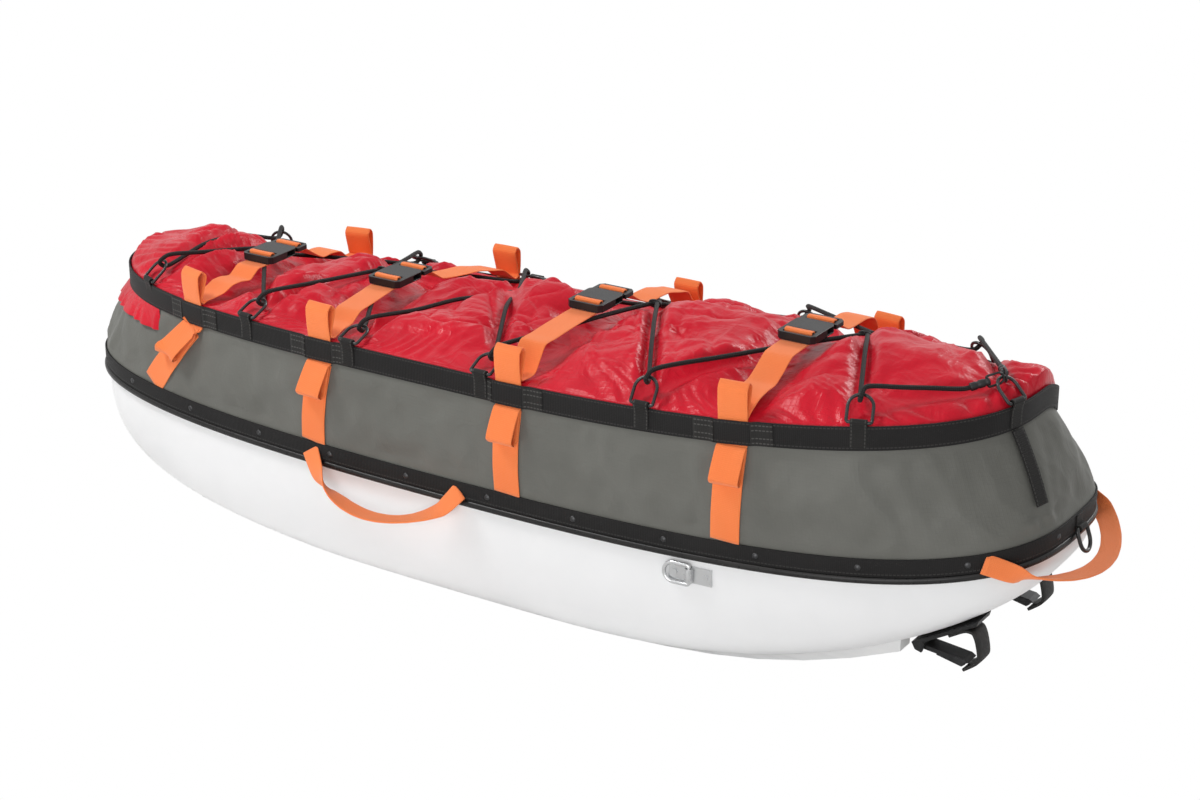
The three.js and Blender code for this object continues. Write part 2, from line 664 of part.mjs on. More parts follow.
function lacingRingFrame(x, side) {
  const frame = edgeFrame(topPlan, x, side, 0);
  const base = frame.point.clone().setZ(bandHeight(x, frame.point.y) + webbing.topBand / 2);
  const reach = reachOf([topBandMesh], base, frame, lacing.tabWidth);
  const origin = base.clone().addScaledVector(frame.out, reach);
  origin.z = bandTop(x, frame.point.y);
  const bar = origin.clone().addScaledVector(frame.out, lacingEye.x).add(vector(0, 0, lacingEye.y));
  const bow = bar.clone().addScaledVector(frame.out, -lacing.ringReach);
  const lying = highestIn([coverMesh], bow.x, bow.y, lacing.ringHalf, lacing.ringHalf);
  const wanted = lying + clothFit + cordRadius + turnHeightShare * cordStep - bar.z;
  const rise = THREE.MathUtils.clamp(wanted, 0, lacing.uprightShare * lacing.ringReach);
  bow.copy(bar).addScaledVector(frame.out, -Math.sqrt(lacing.ringReach ** 2 - rise ** 2)).setZ(bar.z + rise);
  return { ...frame, origin, bar, bow };
}

function frontRingFrame() {
  const tip = topPlan.middle + topPlan.front;
  let x = tip - searchStep;
  while (halfAt(topPlan, x, 0, frontRingOffset) < Math.abs(frontRingOffset)) x -= searchStep;
  return lacingRingFrame(x, Math.sign(frontRingOffset));
}

const ringFrames = {
  near: ringPlaces.map((x) => lacingRingFrame(x, -1)),
  far: ringPlaces.map((x) => lacingRingFrame(x, 1)),
};
const frontFrame = frontRingFrame();
const allRingFrames = [...ringFrames.near, ...ringFrames.far, frontFrame];

// Where a strap lies against the skirt behind the top band
const bandProbeShares = [-0.12, 0.5, 0.9];
function strapSeat(place, side) {
  const frame = edgeFrame(topPlan, place.band, side, 0);
  const low = bandHeight(place.band, frame.point.y);
  const base = frame.point.clone().setZ(low + webbing.topBand / 2);
  const levels = bandProbeShares.map((share) => base.clone().setZ(low + share * webbing.topBand));
  const reach = Math.max(...levels.map((level) => reachOf([skirtMesh], level, frame, strap.width)));
  return { ...frame, origin: base.addScaledVector(frame.out, reach) };
}

function makeTopBand() {
  const tabs = allRingFrames.map((frame) => {
    const tab = eyeTab(-lacing.tabLength, lacingEye.y, lacing.tabThickness, lacingEye, lacing.tabWidth);
    return placedTab(tab, frame, frame.origin);
  });
  const depth = strap.thickness + 2 * clothFit;
  const bridges = [];
  const channels = [];
  for (const side of [-1, 1]) {
    for (const place of strapPlaces) {
      const seat = strapSeat(place, side);
      const wall = depth + webbing.thickness + overrun;
      const bridge = new THREE.BoxGeometry(wall, webbing.topBand, strap.width + 6 * webbing.thickness);
      bridge.translate(wall / 2 - overrun, 0, 0);
      bridges.push(placed(bridge, seat.origin, seat.out, up));
      const channelHeight = webbing.topBand + 2 * overrun;
      const channel = new THREE.BoxGeometry(depth + 2 * overrun, channelHeight, strap.width + 2 * clothFit);
      channel.translate(depth / 2 - overrun, 0, 0);
      channels.push(placed(channel, seat.origin, seat.out, up));
    }
  }
  const rows = skirtRows(skirtInset - fit);
  rows.push(rows.at(-1).map((point) => point.clone().setZ(point.z + clothFit)));
  const core = loft(rows, false);
  const solids = [topBandMesh.geometry, ...bridges, ...tabs.flatMap((tab) => tab.solids)];
  return cut(joined(solids), [core, ...channels, ...tabs.map((tab) => tab.bore)]);
}
add("top_band", makeTopBand(), looks.black);

function lacingRing(frame) {
  const ring = wireRing(lacing.ringHalf, lacing.ringReach, lacing.ringWire, 5);
  return ringAt(ring, frame.bar, frame.along, frame.bow.clone().sub(frame.bar));
}

for (const [sideName, frames] of Object.entries(ringFrames)) {
  frames.forEach((frame, i) => {
    add(`lacing_ring_${sideName}_${i + 1}`, lacingRing(frame), looks.blackWire);
  });
}
add("lacing_ring_front", lacingRing(frontFrame), looks.blackWire);

// Lacing cord: from the front ring through the near rings, over the rear and back along the far rings
class StationCurve extends THREE.CatmullRomCurve3 {
  getUtoTmapping(u) {
    return u;
  }
}

function restOn(x, y) {
  return highestIn([coverMesh], x, y, cordRadius, cordRadius) + cordRadius + clothFit;
}

function legBetween(a, b, count) {
  return Array.from({ length: count }, (_, i) => {
    const p = a.clone().lerp(b, (i + 1) / (count + 1));
    p.z = Math.max(restOn(p.x, p.y), p.z);
    return p;
  });
}

function ringTurn(frame, direction) {
  const inward = frame.out.clone().negate();
  const height = vector(0, 0, turnHeightShare * cordStep);
  const apart = vector(direction * cordRadius, 0, 0);
  const edge = frame.bow.clone().addScaledVector(inward, cordRadius);
  const inside = frame.bow.clone().addScaledVector(inward, -turnDepthShare * cordStep);
  return [edge.clone().add(height).add(apart), inside, edge.clone().sub(height).sub(apart)];
}

function tieTurn(x, side, direction) {
  const y = lacing.tieOffset + side * lacing.tieReach;
  const before = direction * cordRadius * 2;
  const back = side * cordRadius * 3;
  const points = [[before, back], [0, 0], [-before, back]];
  return points.map(([dx, dy]) => vector(x + dx, y + dy, restOn(x + dx, y + dy)));
}

function zigzag(frames, side) {
  const turns = [];
  for (let i = frames.length - 1; i >= 0; i -= 1) {
    turns.push(ringTurn(frames[i], 1));
    if (i > 0) turns.push(tieTurn(tiePlaces[i - 1], side, 1));
  }
  return turns;
}

// Crimp sleeves: each holds a cord end in its bore and a small eye round the front ring's bow
function sleeveFrame(side) {
  const target = (side < 0 ? ringFrames.near : ringFrames.far).at(-1).bow;
  const apart = sleeve.apart * Math.sign(frontFrame.along.y) * side;
  const start = frontFrame.bow.clone().addScaledVector(frontFrame.along, apart);
  const ahead = target.clone().sub(start).setZ(0).normalize();
  const back = start.clone().addScaledVector(ahead, sleeve.gap + sleeve.length);
  back.z = restOn(back.x, back.y) + sleeve.diameter / 2;
  const axis = start.clone().sub(back).normalize();
  back.copy(start).addScaledVector(axis, -(sleeve.gap + sleeve.length));
  return { axis, back, across: axis.clone().cross(up).normalize() };
}
const sleeveFrames = { near: sleeveFrame(-1), far: sleeveFrame(1) };

function makeSleeve(frame) {
  const bore = cordRadius + fit;
  const outer = sleeve.diameter / 2;
  const profile = [[0, sleeve.bore], [bore, sleeve.bore], [bore, 0],
    [outer, 0], [outer, sleeve.length], [0, sleeve.length]];
  const body = new THREE.LatheGeometry(profile.map(([x, y]) => new THREE.Vector2(x, y)), 10);
  const eye = wireRing(sleeve.eyeHalf, sleeve.eyeReach, sleeve.eyeWire, 5);
  eye.rotateY(Math.PI / 2).translate(0, sleeve.length - sleeve.eyeWire, 0);
  const upward = frame.across.clone().cross(frame.axis);
  const place = new THREE.Matrix4().makeBasis(frame.across, frame.axis, upward).setPosition(frame.back);
  return joined([body, eye]).applyMatrix4(place);
}
for (const [sideName, frame] of Object.entries(sleeveFrames)) {
  add(`cord_sleeve_${sideName}`, makeSleeve(frame), looks.plastic);
}

// Lifts the free points of the cord's route until its straight steps clear the cover
function liftRoute(points, free) {
  const passCount = 5;
  const sampleShares = [0.1, 0.25, 0.4, 0.5, 0.6, 0.75, 0.9];
  for (let pass = 0; pass < passCount; pass += 1) {
    for (let i = 1; i < points.length; i += 1) {
      const lacks = sampleShares.map((share) => {
        const p = points[i - 1].clone().lerp(points[i], share);
        return restOn(p.x, p.y) - p.z;
      });
      const lift = Math.max(0, ...lacks);
      if (free[i - 1]) points[i - 1].z += lift;
      if (free[i]) points[i].z += lift;
    }
  }
}

function makeCord() {
  const legCount = 2;
  const depth = sleeve.bore - clothFit;
  const ends = Object.values(sleeveFrames).map((frame) => [depth, -depth / 2].map((distance) =>
    frame.back.clone().addScaledVector(frame.axis, distance)));
  const nearTurns = zigzag(ringFrames.near, -1);
  const farTurns = zigzag(ringFrames.far, 1).toReversed().map((turn) => turn.toReversed());
  const turns = [ends[0], ...nearTurns, ...farTurns, ends[1].toReversed()];
  const points = [];
  const free = [];
  turns.forEach((turn, i) => {
    if (i > 0) {
      points.push(...legBetween(turns[i - 1].at(-1), turn[0], legCount));
      free.push(...Array(legCount).fill(true));
    }
    points.push(...turn);
    free.push(...Array(turn.length).fill(false));
  });
  liftRoute(points, free);
  const sideCount = 8;
  const section = Array.from({ length: sideCount }, (_, k) => {
    const angle = (2 * Math.PI * k) / sideCount;
    return new THREE.Vector2(cordRadius * Math.cos(angle), cordRadius * Math.sin(angle));
  });
  const settings = { steps: points.length - 1, extrudePath: new StationCurve(points) };
  return new THREE.ExtrudeGeometry(new THREE.Shape(section), settings);
}
const cordMesh = add("lacing_cord", makeCord(), looks.rubber);

// Buckles: a socket half with two slots for the near strap, a clip half with prongs for the far strap
const buckleEnd = buckle.length / 2;
const socketFace = buckleEnd - 2 * buckle.slot - buckle.bar - buckle.end - buckle.lip;

function slotHoles(shape, end, inward) {
  const half = strap.width / 2 + clothFit;
  const first = end + inward * buckle.end;
  const second = first + inward * (buckle.slot + buckle.bar);
  for (const start of [first, second]) {
    const stop = start + inward * buckle.slot;
    const corners = [[-half, start], [half, start], [half, stop], [-half, stop]];
    shape.holes.push(new THREE.Path(corners.map(([x, y]) => new THREE.Vector2(x, y))));
  }
}

function makeSocket() {
  const half = buckle.width / 2;
  const shape = polygon([[-half, -buckleEnd + buckle.corner], [-half + buckle.corner, -buckleEnd],
    [half - buckle.corner, -buckleEnd], [half, -buckleEnd + buckle.corner],
    [half, socketFace - buckle.slot], [half - buckle.corner, socketFace], [-half + buckle.corner, socketFace],
    [-half, socketFace - buckle.slot]]);
  slotHoles(shape, -buckleEnd, 1);
  const body = pushed(shape, buckle.thickness, 1);
  const room = new THREE.BoxGeometry(buckle.socketWidth, buckle.socketDepth + overrun, buckle.socketHeight);
  room.translate(0, socketFace - buckle.socketDepth / 2 + overrun / 2, 0);
  const windowWidth = buckle.width + 2 * overrun;
  const window = new THREE.BoxGeometry(windowWidth, buckle.socketDepth / 2, buckle.socketHeight);
  window.translate(0, socketFace - buckle.socketDepth / 2, 0);
  return cut(body, [room, window]);
}

function makeClip() {
  const half = buckle.width / 2;
  const back = socketFace + fit;
  const prongHalf = buckle.socketWidth / 2 - clothFit;
  const tip = back - buckle.prongLength;
  const prong = buckle.prong;
  const root = back - prong / 2;
  const shape = polygon([[-half, back], [-prongHalf, back], [-prongHalf, tip + prong],
    [-prongHalf + prong / 2, tip], [-prongHalf + prong, tip + prong], [-prongHalf + prong, root],
    [-prong / 2, root], [-prong / 2, tip + prong], [prong / 2, tip + prong], [prong / 2, root],
    [prongHalf - prong, root], [prongHalf - prong, tip + prong], [prongHalf - prong / 2, tip],
    [prongHalf, tip + prong], [prongHalf, back], [half, back], [half, buckleEnd - buckle.corner],
    [half - buckle.corner, buckleEnd], [-half + buckle.corner, buckleEnd],
    [-half, buckleEnd - buckle.corner]]);
  slotHoles(shape, buckleEnd, -1);
  return pushed(shape, buckle.socketHeight - 2 * fit, 1);
}

// Height of each buckle: over the highest point of cover and cord under it, with the strap between
function buckleLevel(place) {
  const below = [coverMesh, cordMesh];
  const under = highestIn(below, place.top, buckle.middle, buckle.width / 2, buckleEnd);
  const beyond = highestIn(below, place.top, buckle.middle, strap.width / 2, buckleEnd + overrun);
  return Math.max(under, beyond) + clothFit + strap.thickness + clothFit;
}
const buckleLevels = strapPlaces.map(buckleLevel);

strapPlaces.forEach((place, i) => {
  const middle = buckleLevels[i] + buckle.thickness / 2;
  add(`buckle_socket_${i + 1}`, makeSocket().translate(place.top, buckle.middle, middle), looks.plastic);
  add(`buckle_clip_${i + 1}`, makeClip().translate(place.top, buckle.middle, middle), looks.plastic);
});

// Strap path: up the skirt, a fold under the band, behind the band and a fold over it
function strapPoints(place, side) {
  const frame = edgeFrame(topPlan, place.band, side, 0);
  const bandLow = bandHeight(place.band, frame.point.y);
  const foldTop = bandLow - 2 * clothFit;
  const layer = strap.thickness + clothFit;
  const face = (z) => {
    const low = rimHeight(place.rim) + webbing.rimBand;
    const share = THREE.MathUtils.clamp((z - low) / (bandLow - low), 0, 1);
    const x = place.rim + (place.band - place.rim) * share;
    const rimFrame = edgeFrame(rimPlan, place.rim, side, 0);
    const along = rimFrame.along.clone().lerp(frame.along, share).normalize();
    const out = vector(side * -along.y, side * along.x, 0);
    const y = THREE.MathUtils.lerp(rimFrame.point.y, frame.point.y, share);
    const base = vector(x, y, z);
    const reach = reachOf([skirtMesh], base, { along, out }, strap.width);
    return { along, out, point: base.addScaledVector(out, reach + clothFit + strap.thickness / 2) };
  };
  const points = [];
  const rims = [-0.5, 0, 0.5].map((share) => rimHeight(place.rim + share * strap.width));
  const low = rimHeight(place.rim) + webbing.rimBand;
  const levels = skirtRowShares.slice(1, -1).map((share) => low + (bandLow - low) * share);
  for (const z of [Math.max(...rims) + webbing.rimBand + clothFit, ...levels, foldTop - layer]) {
    const { along, point } = face(z);
    points.push({ point, across: along });
  }
  const step = (distance, z) => {
    const { along, out, point } = face(z);
    points.push({ point: point.addScaledVector(out, distance), across: along });
  };
  step(layer, foldTop - 1.5 * layer);
  step(1.4 * layer, foldTop - strap.foldDrop / 2);
  step(1.2 * layer, foldTop - strap.foldDrop);
  step(1.2 * layer + strap.foldRadius, foldTop - strap.foldDrop - strap.foldRadius);
  step(1.2 * layer + 2 * strap.foldRadius, foldTop - strap.foldDrop);
  step(2.4 * layer, foldTop - 1.5 * layer);
  const behind = strapSeat(place, side).origin.addScaledVector(frame.out, clothFit + strap.thickness / 2);
  const pass = (distance, z) => {
    points.push({ point: behind.clone().addScaledVector(frame.out, distance).setZ(z), across: frame.along });
  };
  const top = bandTop(place.band, frame.point.y);
  pass(0, foldTop);
  pass(0, top + clothFit);
  pass(layer, top + strap.foldRise / 2);
  pass(layer, top + strap.foldRise);
  pass(layer - strap.foldRadius, top + strap.foldRise + strap.foldRadius);
  pass(layer - 2 * strap.foldRadius, top + strap.foldRise);
  pass(-layer, top + 2.5 * layer);
  return points;
}

// Across the cover to the buckle
function crossPoints(place, side) {
  const frame = edgeFrame(topPlan, place.band, side, 0);
  const endY = buckle.middle + side * buckleEnd;
  const startY = frame.point.y - side * (innerInset + 3 * strap.thickness);
  const count = 7;
  const spacing = Math.abs(endY - startY) / count;
  const points = [];
  for (let i = 0; i < count; i += 1) {
    const share = i / count;
    const y = startY + (endY - startY) * share;
    const x = place.band + (place.top - place.band) * share;
    const along = frame.along.clone().lerp(vector(1, 0, 0), Math.min(1, 2 * share)).normalize();
    const lying = highestIn([coverMesh, cordMesh], x, y, strap.width / 2 + cordRadius, spacing)
      + clothFit + strap.thickness / 2;
    const edgeLevel = bandTop(place.band, frame.point.y) + strap.thickness / 2 + 2 * clothFit;
    points.push({ point: vector(x, y, Math.max(lying, i === 0 ? edgeLevel : lying)), across: along });
  }
  return points;
}

// Round the buckle's bar
function barPoints(place, level, side, halfHeight) {
  const gap = strap.thickness / 2 + clothFit;
  const end = buckle.middle + side * buckleEnd;
  const first = end - side * (buckle.end + buckle.slot);
  const second = first - side * buckle.bar;
  const low = level - gap;
  const middle = level + buckle.thickness / 2;
  const at = (y, z) => ({ point: vector(place.top, y, z), across: vector(1, 0, 0) });
  const high = middle + halfHeight + gap;
  return [at(end + side * strap.thickness, low), at(first + side * gap, low), at(first + side * gap, high),
    at(second - side * gap, high), at(second - side * gap, low)];
}

strapPlaces.forEach((place, i) => {
  for (const [sideName, side] of [["near", -1], ["far", 1]]) {
    const halfHeight = side < 0 ? buckle.thickness / 2 : buckle.socketHeight / 2 - fit;
    const level = buckleLevels[i];
    const points = [...strapPoints(place, side), ...crossPoints(place, side),
      ...barPoints(place, level, side, halfHeight)];
    add(`strap_${sideName}_${i + 1}`, ribbon(points, strap.width, strap.thickness), looks.orange);
  }
});

// Side plates: a plate with a knuckle for a ring that folds back along the hull
function sidePlateFrame(side) {
  const z = rimHeight(sidePlate.middle) - sidePlate.drop;
  const hits = [-0.5, 0.5].map((share) => {
    const x = sidePlate.middle + share * sidePlate.length;
    return probe([hullMesh], vector(x, side * 2 * rimPlan.half, z), vector(0, -side, 0)).point;
  });
  const along = hits[1].clone().sub(hits[0]).setZ(0).normalize();
  const out = vector(side * -along.y, side * along.x, 0);
  const middle = hits[0].clone().lerp(hits[1], 0.5);
  const bases = [-0.5, 0, 0.5].map((share) => middle.clone().setZ(z + share * sidePlate.height));
  const reach = Math.max(...bases.map((base) => reachOf([hullMesh], base, { along, out }, sidePlate.length)));
  return { along, out, origin: middle.addScaledVector(out, reach + fit) };
}

const knuckleRadius = sideRing.wire / 2 + sidePlate.pinGap + sidePlate.thickness;
const knuckleOut = sidePlate.thickness + sideRing.wire / 2 + sidePlate.pinGap;
function makeSidePlate(frame) {
  const plate = new THREE.BoxGeometry(sidePlate.thickness, sidePlate.height, sidePlate.length);
  plate.translate(sidePlate.thickness / 2, 0, 0);
  const knuckleLength = 2 * sideRing.half - 3 * sideRing.wire / 2;
  const knuckle = new THREE.CylinderGeometry(knuckleRadius, knuckleRadius, knuckleLength, 10);
  knuckle.translate(knuckleOut, 0, 0);
  const boreRadius = knuckleRadius - sidePlate.thickness;
  const bore = new THREE.CylinderGeometry(boreRadius, boreRadius, sidePlate.height, 8);
  bore.translate(knuckleOut, 0, 0);
  const headLength = rivet.height + sidePlate.thickness / 2;
  const heads = [-sidePlate.rivetShare, sidePlate.rivetShare].map((share) => {
    const head = new THREE.CylinderGeometry(rivet.radius, rivet.radius, headLength, rivet.sideCount);
    head.rotateZ(Math.PI / 2);
    return head.translate(sidePlate.thickness + rivet.height / 4, 0, share * sidePlate.length);
  });
  return placed(cut(joined([plate, knuckle, ...heads]), [bore]), frame.origin, frame.out, up);
}

for (const [sideName, side] of [["near", -1], ["far", 1]]) {
  const frame = sidePlateFrame(side);
  add(`side_plate_${sideName}`, makeSidePlate(frame), looks.steel);
  const ring = wireRing(sideRing.half, sideRing.reach, sideRing.wire, 6);
  const bar = frame.origin.clone().addScaledVector(frame.out, knuckleOut);
  const back = frame.along.clone().negate();
  add(`side_ring_${sideName}`, ringAt(ring, bar, up.clone().multiplyScalar(side), back), looks.steel);
}

// Bow ring: hanging from its tab, tipped a little outward
function makeBowRing() {
  const bar = bowFrame.point.clone().addScaledVector(bowFrame.out, bowEye.x).add(vector(0, 0, bowEye.y));
  const ring = wireRing(bowRing.half, bowRing.reach, bowRing.wire, 6);
  const tipShare = 0.35;
  return ringAt(ring, bar, bowFrame.along, vector(0, 0, -1).addScaledVector(bowFrame.out, tipShare));
}
add("bow_ring", makeBowRing(), looks.blackWire);

// Handles: webbing sewn flat to the rim band at both ends, bowed out and down between them
function handlePoints(ends, alongs, outward, sag, bow, bowShare) {
  const count = handle.pointCount;
  const points = [];
  for (let i = 0; i <= count; i += 1) {
    const share = i / count;
    const swing = Math.sin(Math.PI * share);
    const middle = ends[0].clone().lerp(ends[1], share);
    const depth = sag * swing ** handle.sagShare;
    const point = middle.addScaledVector(outward, bow * swing ** bowShare).sub(vector(0, 0, depth));
    const end = share < 0.5 ? alongs[0] : alongs[1];
    const turn = Math.min(1, handle.turnShare * Math.min(share, 1 - share));
    const across = end.clone().lerp(outward, turn).normalize();
    points.push({ point, across });
  }
  return points;
}

function bandSeat(x, side, level) {
  const frame = edgeFrame(rimPlan, x, side, 0);
  const base = frame.point.clone().setZ(rimHeight(x) + level);
  const reach = reachOf([rimBandMesh], base, frame, handle.width) + fit + handle.thickness / 2;
  return { ...frame, point: base.addScaledVector(frame.out, reach) };
}

const handleLevel = (webbing.rimBand + trim.height) / 2;
for (const [sideName, side] of [["near", -1], ["far", 1]]) {
  const seats = [bandSeat(sideHandle.rear, side, handleLevel), bandSeat(sideHandle.front, side, handleLevel)];
  const outward = vector(0, side, 0);
  const points = handlePoints(seats.map((seat) => seat.point), seats.map((seat) => seat.along),
    outward, sideHandle.sag, sideHandle.bow, handle.bowShare);
  add(`handle_${sideName}`, ribbon(points, handle.width, handle.thickness), looks.orange);
}

function placeOfOffset(plan, offset, direction) {
  let x = plan.middle + direction * ((direction > 0 ? plan.front : plan.rear) - searchStep);
  while (halfAt(plan, x, 0, 1) < offset) x -= direction * searchStep;
  return x;
}

function makeEndHandle(direction, offset, reach, sag) {
  const x = placeOfOffset(rimPlan, offset, direction);
  const seats = [bandSeat(x, -1, handleLevel), bandSeat(x, 1, handleLevel)];
  const end = rimPlan.middle + direction * (direction > 0 ? rimPlan.front : rimPlan.rear);
  const tip = Math.abs(end - x) + reach;
  const outward = vector(direction, 0, 0);
  const points = handlePoints(seats.map((seat) => seat.point), seats.map((seat) => seat.along),
    outward, sag, tip, handle.endBowShare);
  return ribbon(points, handle.width, handle.thickness);
}
const frontHandle = makeEndHandle(1, endHandle.frontOffset, endHandle.frontReach, endHandle.frontSag);
const rearHandle = makeEndHandle(-1, endHandle.rearOffset, endHandle.rearReach, endHandle.rearSag);
add("handle_front", frontHandle, looks.orange);
add("handle_rear", rearHandle, looks.orange);

// Clamps: plate on the bow, a padded band curled under it, an arm that closes the loop and a latch on the arm
function clampFrame(side) {
  const y = side * clamp.offset;
  const half = clamp.plateLength / 2;
  const under = (x, dy) => probe([hullMesh], vector(x, y + dy, -skyHeight), up).point.z;
  const slope = Math.atan2(under(clamp.middle + half / 2, 0) - under(clamp.middle - half / 2, 0), half);
  const along = vector(Math.cos(slope), 0, Math.sin(slope));
  const down = vector(Math.sin(slope), 0, -Math.cos(slope));
  let drop = -Infinity;
  for (const a of [-1, -0.5, 0, 0.5, 1]) {
    for (const b of [-0.5, 0.5]) {
      const x = clamp.middle + a * half * along.x;
      const lineZ = under(clamp.middle, 0) + (x - clamp.middle) * Math.tan(slope);
      drop = Math.max(drop, (lineZ - under(x, b * clamp.plateWidth)) * Math.cos(slope));
    }
  }
  const origin = vector(clamp.middle, y, under(clamp.middle, 0)).addScaledVector(down, drop + fit);
  return { along, down, origin };
}

const hingeAlong = -clamp.plateLength / 2 + clamp.lugWall + clamp.pin / 2;
const armEye = clamp.pin / 2 + fit + clamp.lugWall / 2;
const hingeDown = clamp.plateThickness + armEye + fit;
const armAngle = 36;
const armAhead = { x: Math.cos(rad(armAngle)), y: Math.sin(rad(armAngle)) };

// A point beside the arm's middle line, by its distance from the hinge and its offset
function besideArm(distance, offset) {
  return [hingeAlong + armAhead.x * distance - armAhead.y * offset,
    hingeDown + armAhead.y * distance + armAhead.x * offset];
}
const armTip = besideArm(clamp.armLength, 0);

function clampPiece(shape, width, frame) {
  const across = frame.along.clone().cross(frame.down);
  const geometry = pushed(shape, width, 5);
  const place = new THREE.Matrix4().makeBasis(frame.along, frame.down, across).setPosition(frame.origin);
  return geometry.applyMatrix4(place);
}

function makeClampBase(frame) {
  const half = clamp.plateLength / 2;
  const lug = clamp.pin / 2 + clamp.lugWall;
  const depth = clamp.plateThickness;
  const plate = clampPiece(polygon([[-half, 0], [half, 0], [half - depth, depth], [-half, depth]]),
    clamp.plateWidth, frame);
  const cheek = polygon([[hingeAlong - lug, depth / 2], [hingeAlong + lug, depth / 2],
    [hingeAlong + lug, hingeDown], [hingeAlong, hingeDown + lug], [hingeAlong - lug, hingeDown]]);
  const pin = new THREE.Shape();
  pin.absarc(hingeAlong, hingeDown, clamp.pin / 2, 0, 2 * Math.PI, false);
  const across = frame.along.clone().cross(frame.down);
  const offset = clamp.plateWidth / 2 - clamp.lugWall / 2;
  const cheeks = [-1, 1].map((side) => {
    const piece = clampPiece(cheek, clamp.lugWall, frame);
    return piece.translate(across.x * side * offset, across.y * side * offset, across.z * side * offset);
  });
  return joined([plate, ...cheeks, clampPiece(pin, clamp.plateWidth - clamp.lugWall, frame)]);
}

// The padded band: from the plate's front down round a bend to the arm's tip
const bandPathShares = [[-1, 0], [0.6, 0], [1.15, 0.5], [1.1, 1.25]];
const bandTailShare = -0.6;
function makeClampBand(frame) {
  const start = clamp.plateThickness + fit;
  const outer = clamp.loop + clamp.bandThickness;
  const centre = [armTip[0] + 2 * clamp.bandThickness, start + outer + clamp.bandThickness];
  const bottom = armTip[1] + clamp.armThickness / 2 + fit;
  const path = bandPathShares.map(([ahead, down]) =>
    [centre[0] + clamp.loop * ahead, start + clamp.loop * down]);
  path[0][1] = start + clamp.bandThickness / 2;
  path[1][1] = start + clamp.bandThickness / 2;
  path.push([centre[0] + clamp.loop / 2, bottom - clamp.bandThickness / 2]);
  path.push([armTip[0] + clamp.loop * bandTailShare, bottom + clamp.bandThickness / 2]);
  const points = path.map(([a, d]) => ({
    point: frame.origin.clone().addScaledVector(frame.along, a).addScaledVector(frame.down, d),
    across: vector(0, 1, 0),
  }));
  return ribbon(points, clamp.bandWidth, clamp.bandThickness);
}

function makeClampArm(frame) {
  const bore = clamp.pin / 2 + fit;
  const half = clamp.armThickness / 2;
  const shape = new THREE.Shape();
  const edge = Math.asin(half / armEye);
  shape.moveTo(...besideArm(clamp.armLength - clamp.armThickness, -half));
  shape.lineTo(...besideArm(clamp.armLength, 0));
  shape.lineTo(...besideArm(clamp.armLength - clamp.armThickness, half));
  const turn = rad(armAngle);
  shape.absarc(hingeAlong, hingeDown, armEye, turn + edge, turn + 2 * Math.PI - edge, false);
  const hole = new THREE.Path();
  hole.absarc(hingeAlong, hingeDown, bore, 0, 2 * Math.PI, true);
  shape.holes.push(hole);
  return clampPiece(shape, clamp.bandWidth - 2 * clamp.lugWall, frame);
}

function makeClampLatch(frame) {
  const gap = clamp.armThickness / 2 + fit;
  const thick = clamp.latchThickness;
  const start = clamp.armLength * clamp.latchStartShare;
  const end = start + clamp.latchLength;
  const shape = polygon([besideArm(start, gap), besideArm(end, gap), besideArm(end + thick, gap + thick),
    besideArm(end, gap + 2 * thick), besideArm(start, gap + thick)]);
  return clampPiece(shape, clamp.bandWidth - 4 * clamp.lugWall, frame);
}

for (const [sideName, side] of [["near", -1], ["far", 1]]) {
  const frame = clampFrame(side);
  add(`clamp_base_${sideName}`, makeClampBase(frame), looks.plastic);
  add(`clamp_band_${sideName}`, makeClampBand(frame), looks.black);
  add(`clamp_arm_${sideName}`, makeClampArm(frame), looks.plastic);
  add(`clamp_latch_${sideName}`, makeClampLatch(frame), looks.plastic);
}

// The origin lies under the middle of the whole sled
const box = new THREE.Box3().setFromObject(group);
group.position.x = -(box.min.x + box.max.x) / 2;

export default group;
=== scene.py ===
import math
import bpy
import numpy as np
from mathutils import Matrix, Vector


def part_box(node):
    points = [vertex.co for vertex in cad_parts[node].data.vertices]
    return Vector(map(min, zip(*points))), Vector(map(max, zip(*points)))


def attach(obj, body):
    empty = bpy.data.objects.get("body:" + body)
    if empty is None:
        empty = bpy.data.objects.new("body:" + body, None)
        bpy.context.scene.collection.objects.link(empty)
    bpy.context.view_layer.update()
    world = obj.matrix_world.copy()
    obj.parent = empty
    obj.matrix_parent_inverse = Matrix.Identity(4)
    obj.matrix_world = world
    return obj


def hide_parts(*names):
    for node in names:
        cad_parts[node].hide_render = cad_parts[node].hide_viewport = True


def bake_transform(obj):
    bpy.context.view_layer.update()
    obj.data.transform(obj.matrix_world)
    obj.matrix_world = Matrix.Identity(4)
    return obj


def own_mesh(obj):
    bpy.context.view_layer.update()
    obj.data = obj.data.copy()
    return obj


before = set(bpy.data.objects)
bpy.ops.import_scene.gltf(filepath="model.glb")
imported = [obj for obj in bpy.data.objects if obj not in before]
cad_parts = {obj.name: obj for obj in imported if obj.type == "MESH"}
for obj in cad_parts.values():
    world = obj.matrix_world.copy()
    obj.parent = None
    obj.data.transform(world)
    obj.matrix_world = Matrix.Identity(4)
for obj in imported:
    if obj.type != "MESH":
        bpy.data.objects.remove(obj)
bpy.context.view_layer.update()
print("frame loaded")

# Lengths below are in millimetres, in the part's own drawing frame, where the near runner starts at runnerRear.
# toFrame adds the shift to the shared frame and turns them to metres.
runnerRear = -545.0
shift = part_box("runner_near")[0][0] * 1000 - runnerRear


def toFrame(points):
    moved = np.array(points, dtype=float)
    moved[..., 0] += shift
    return moved * 0.001


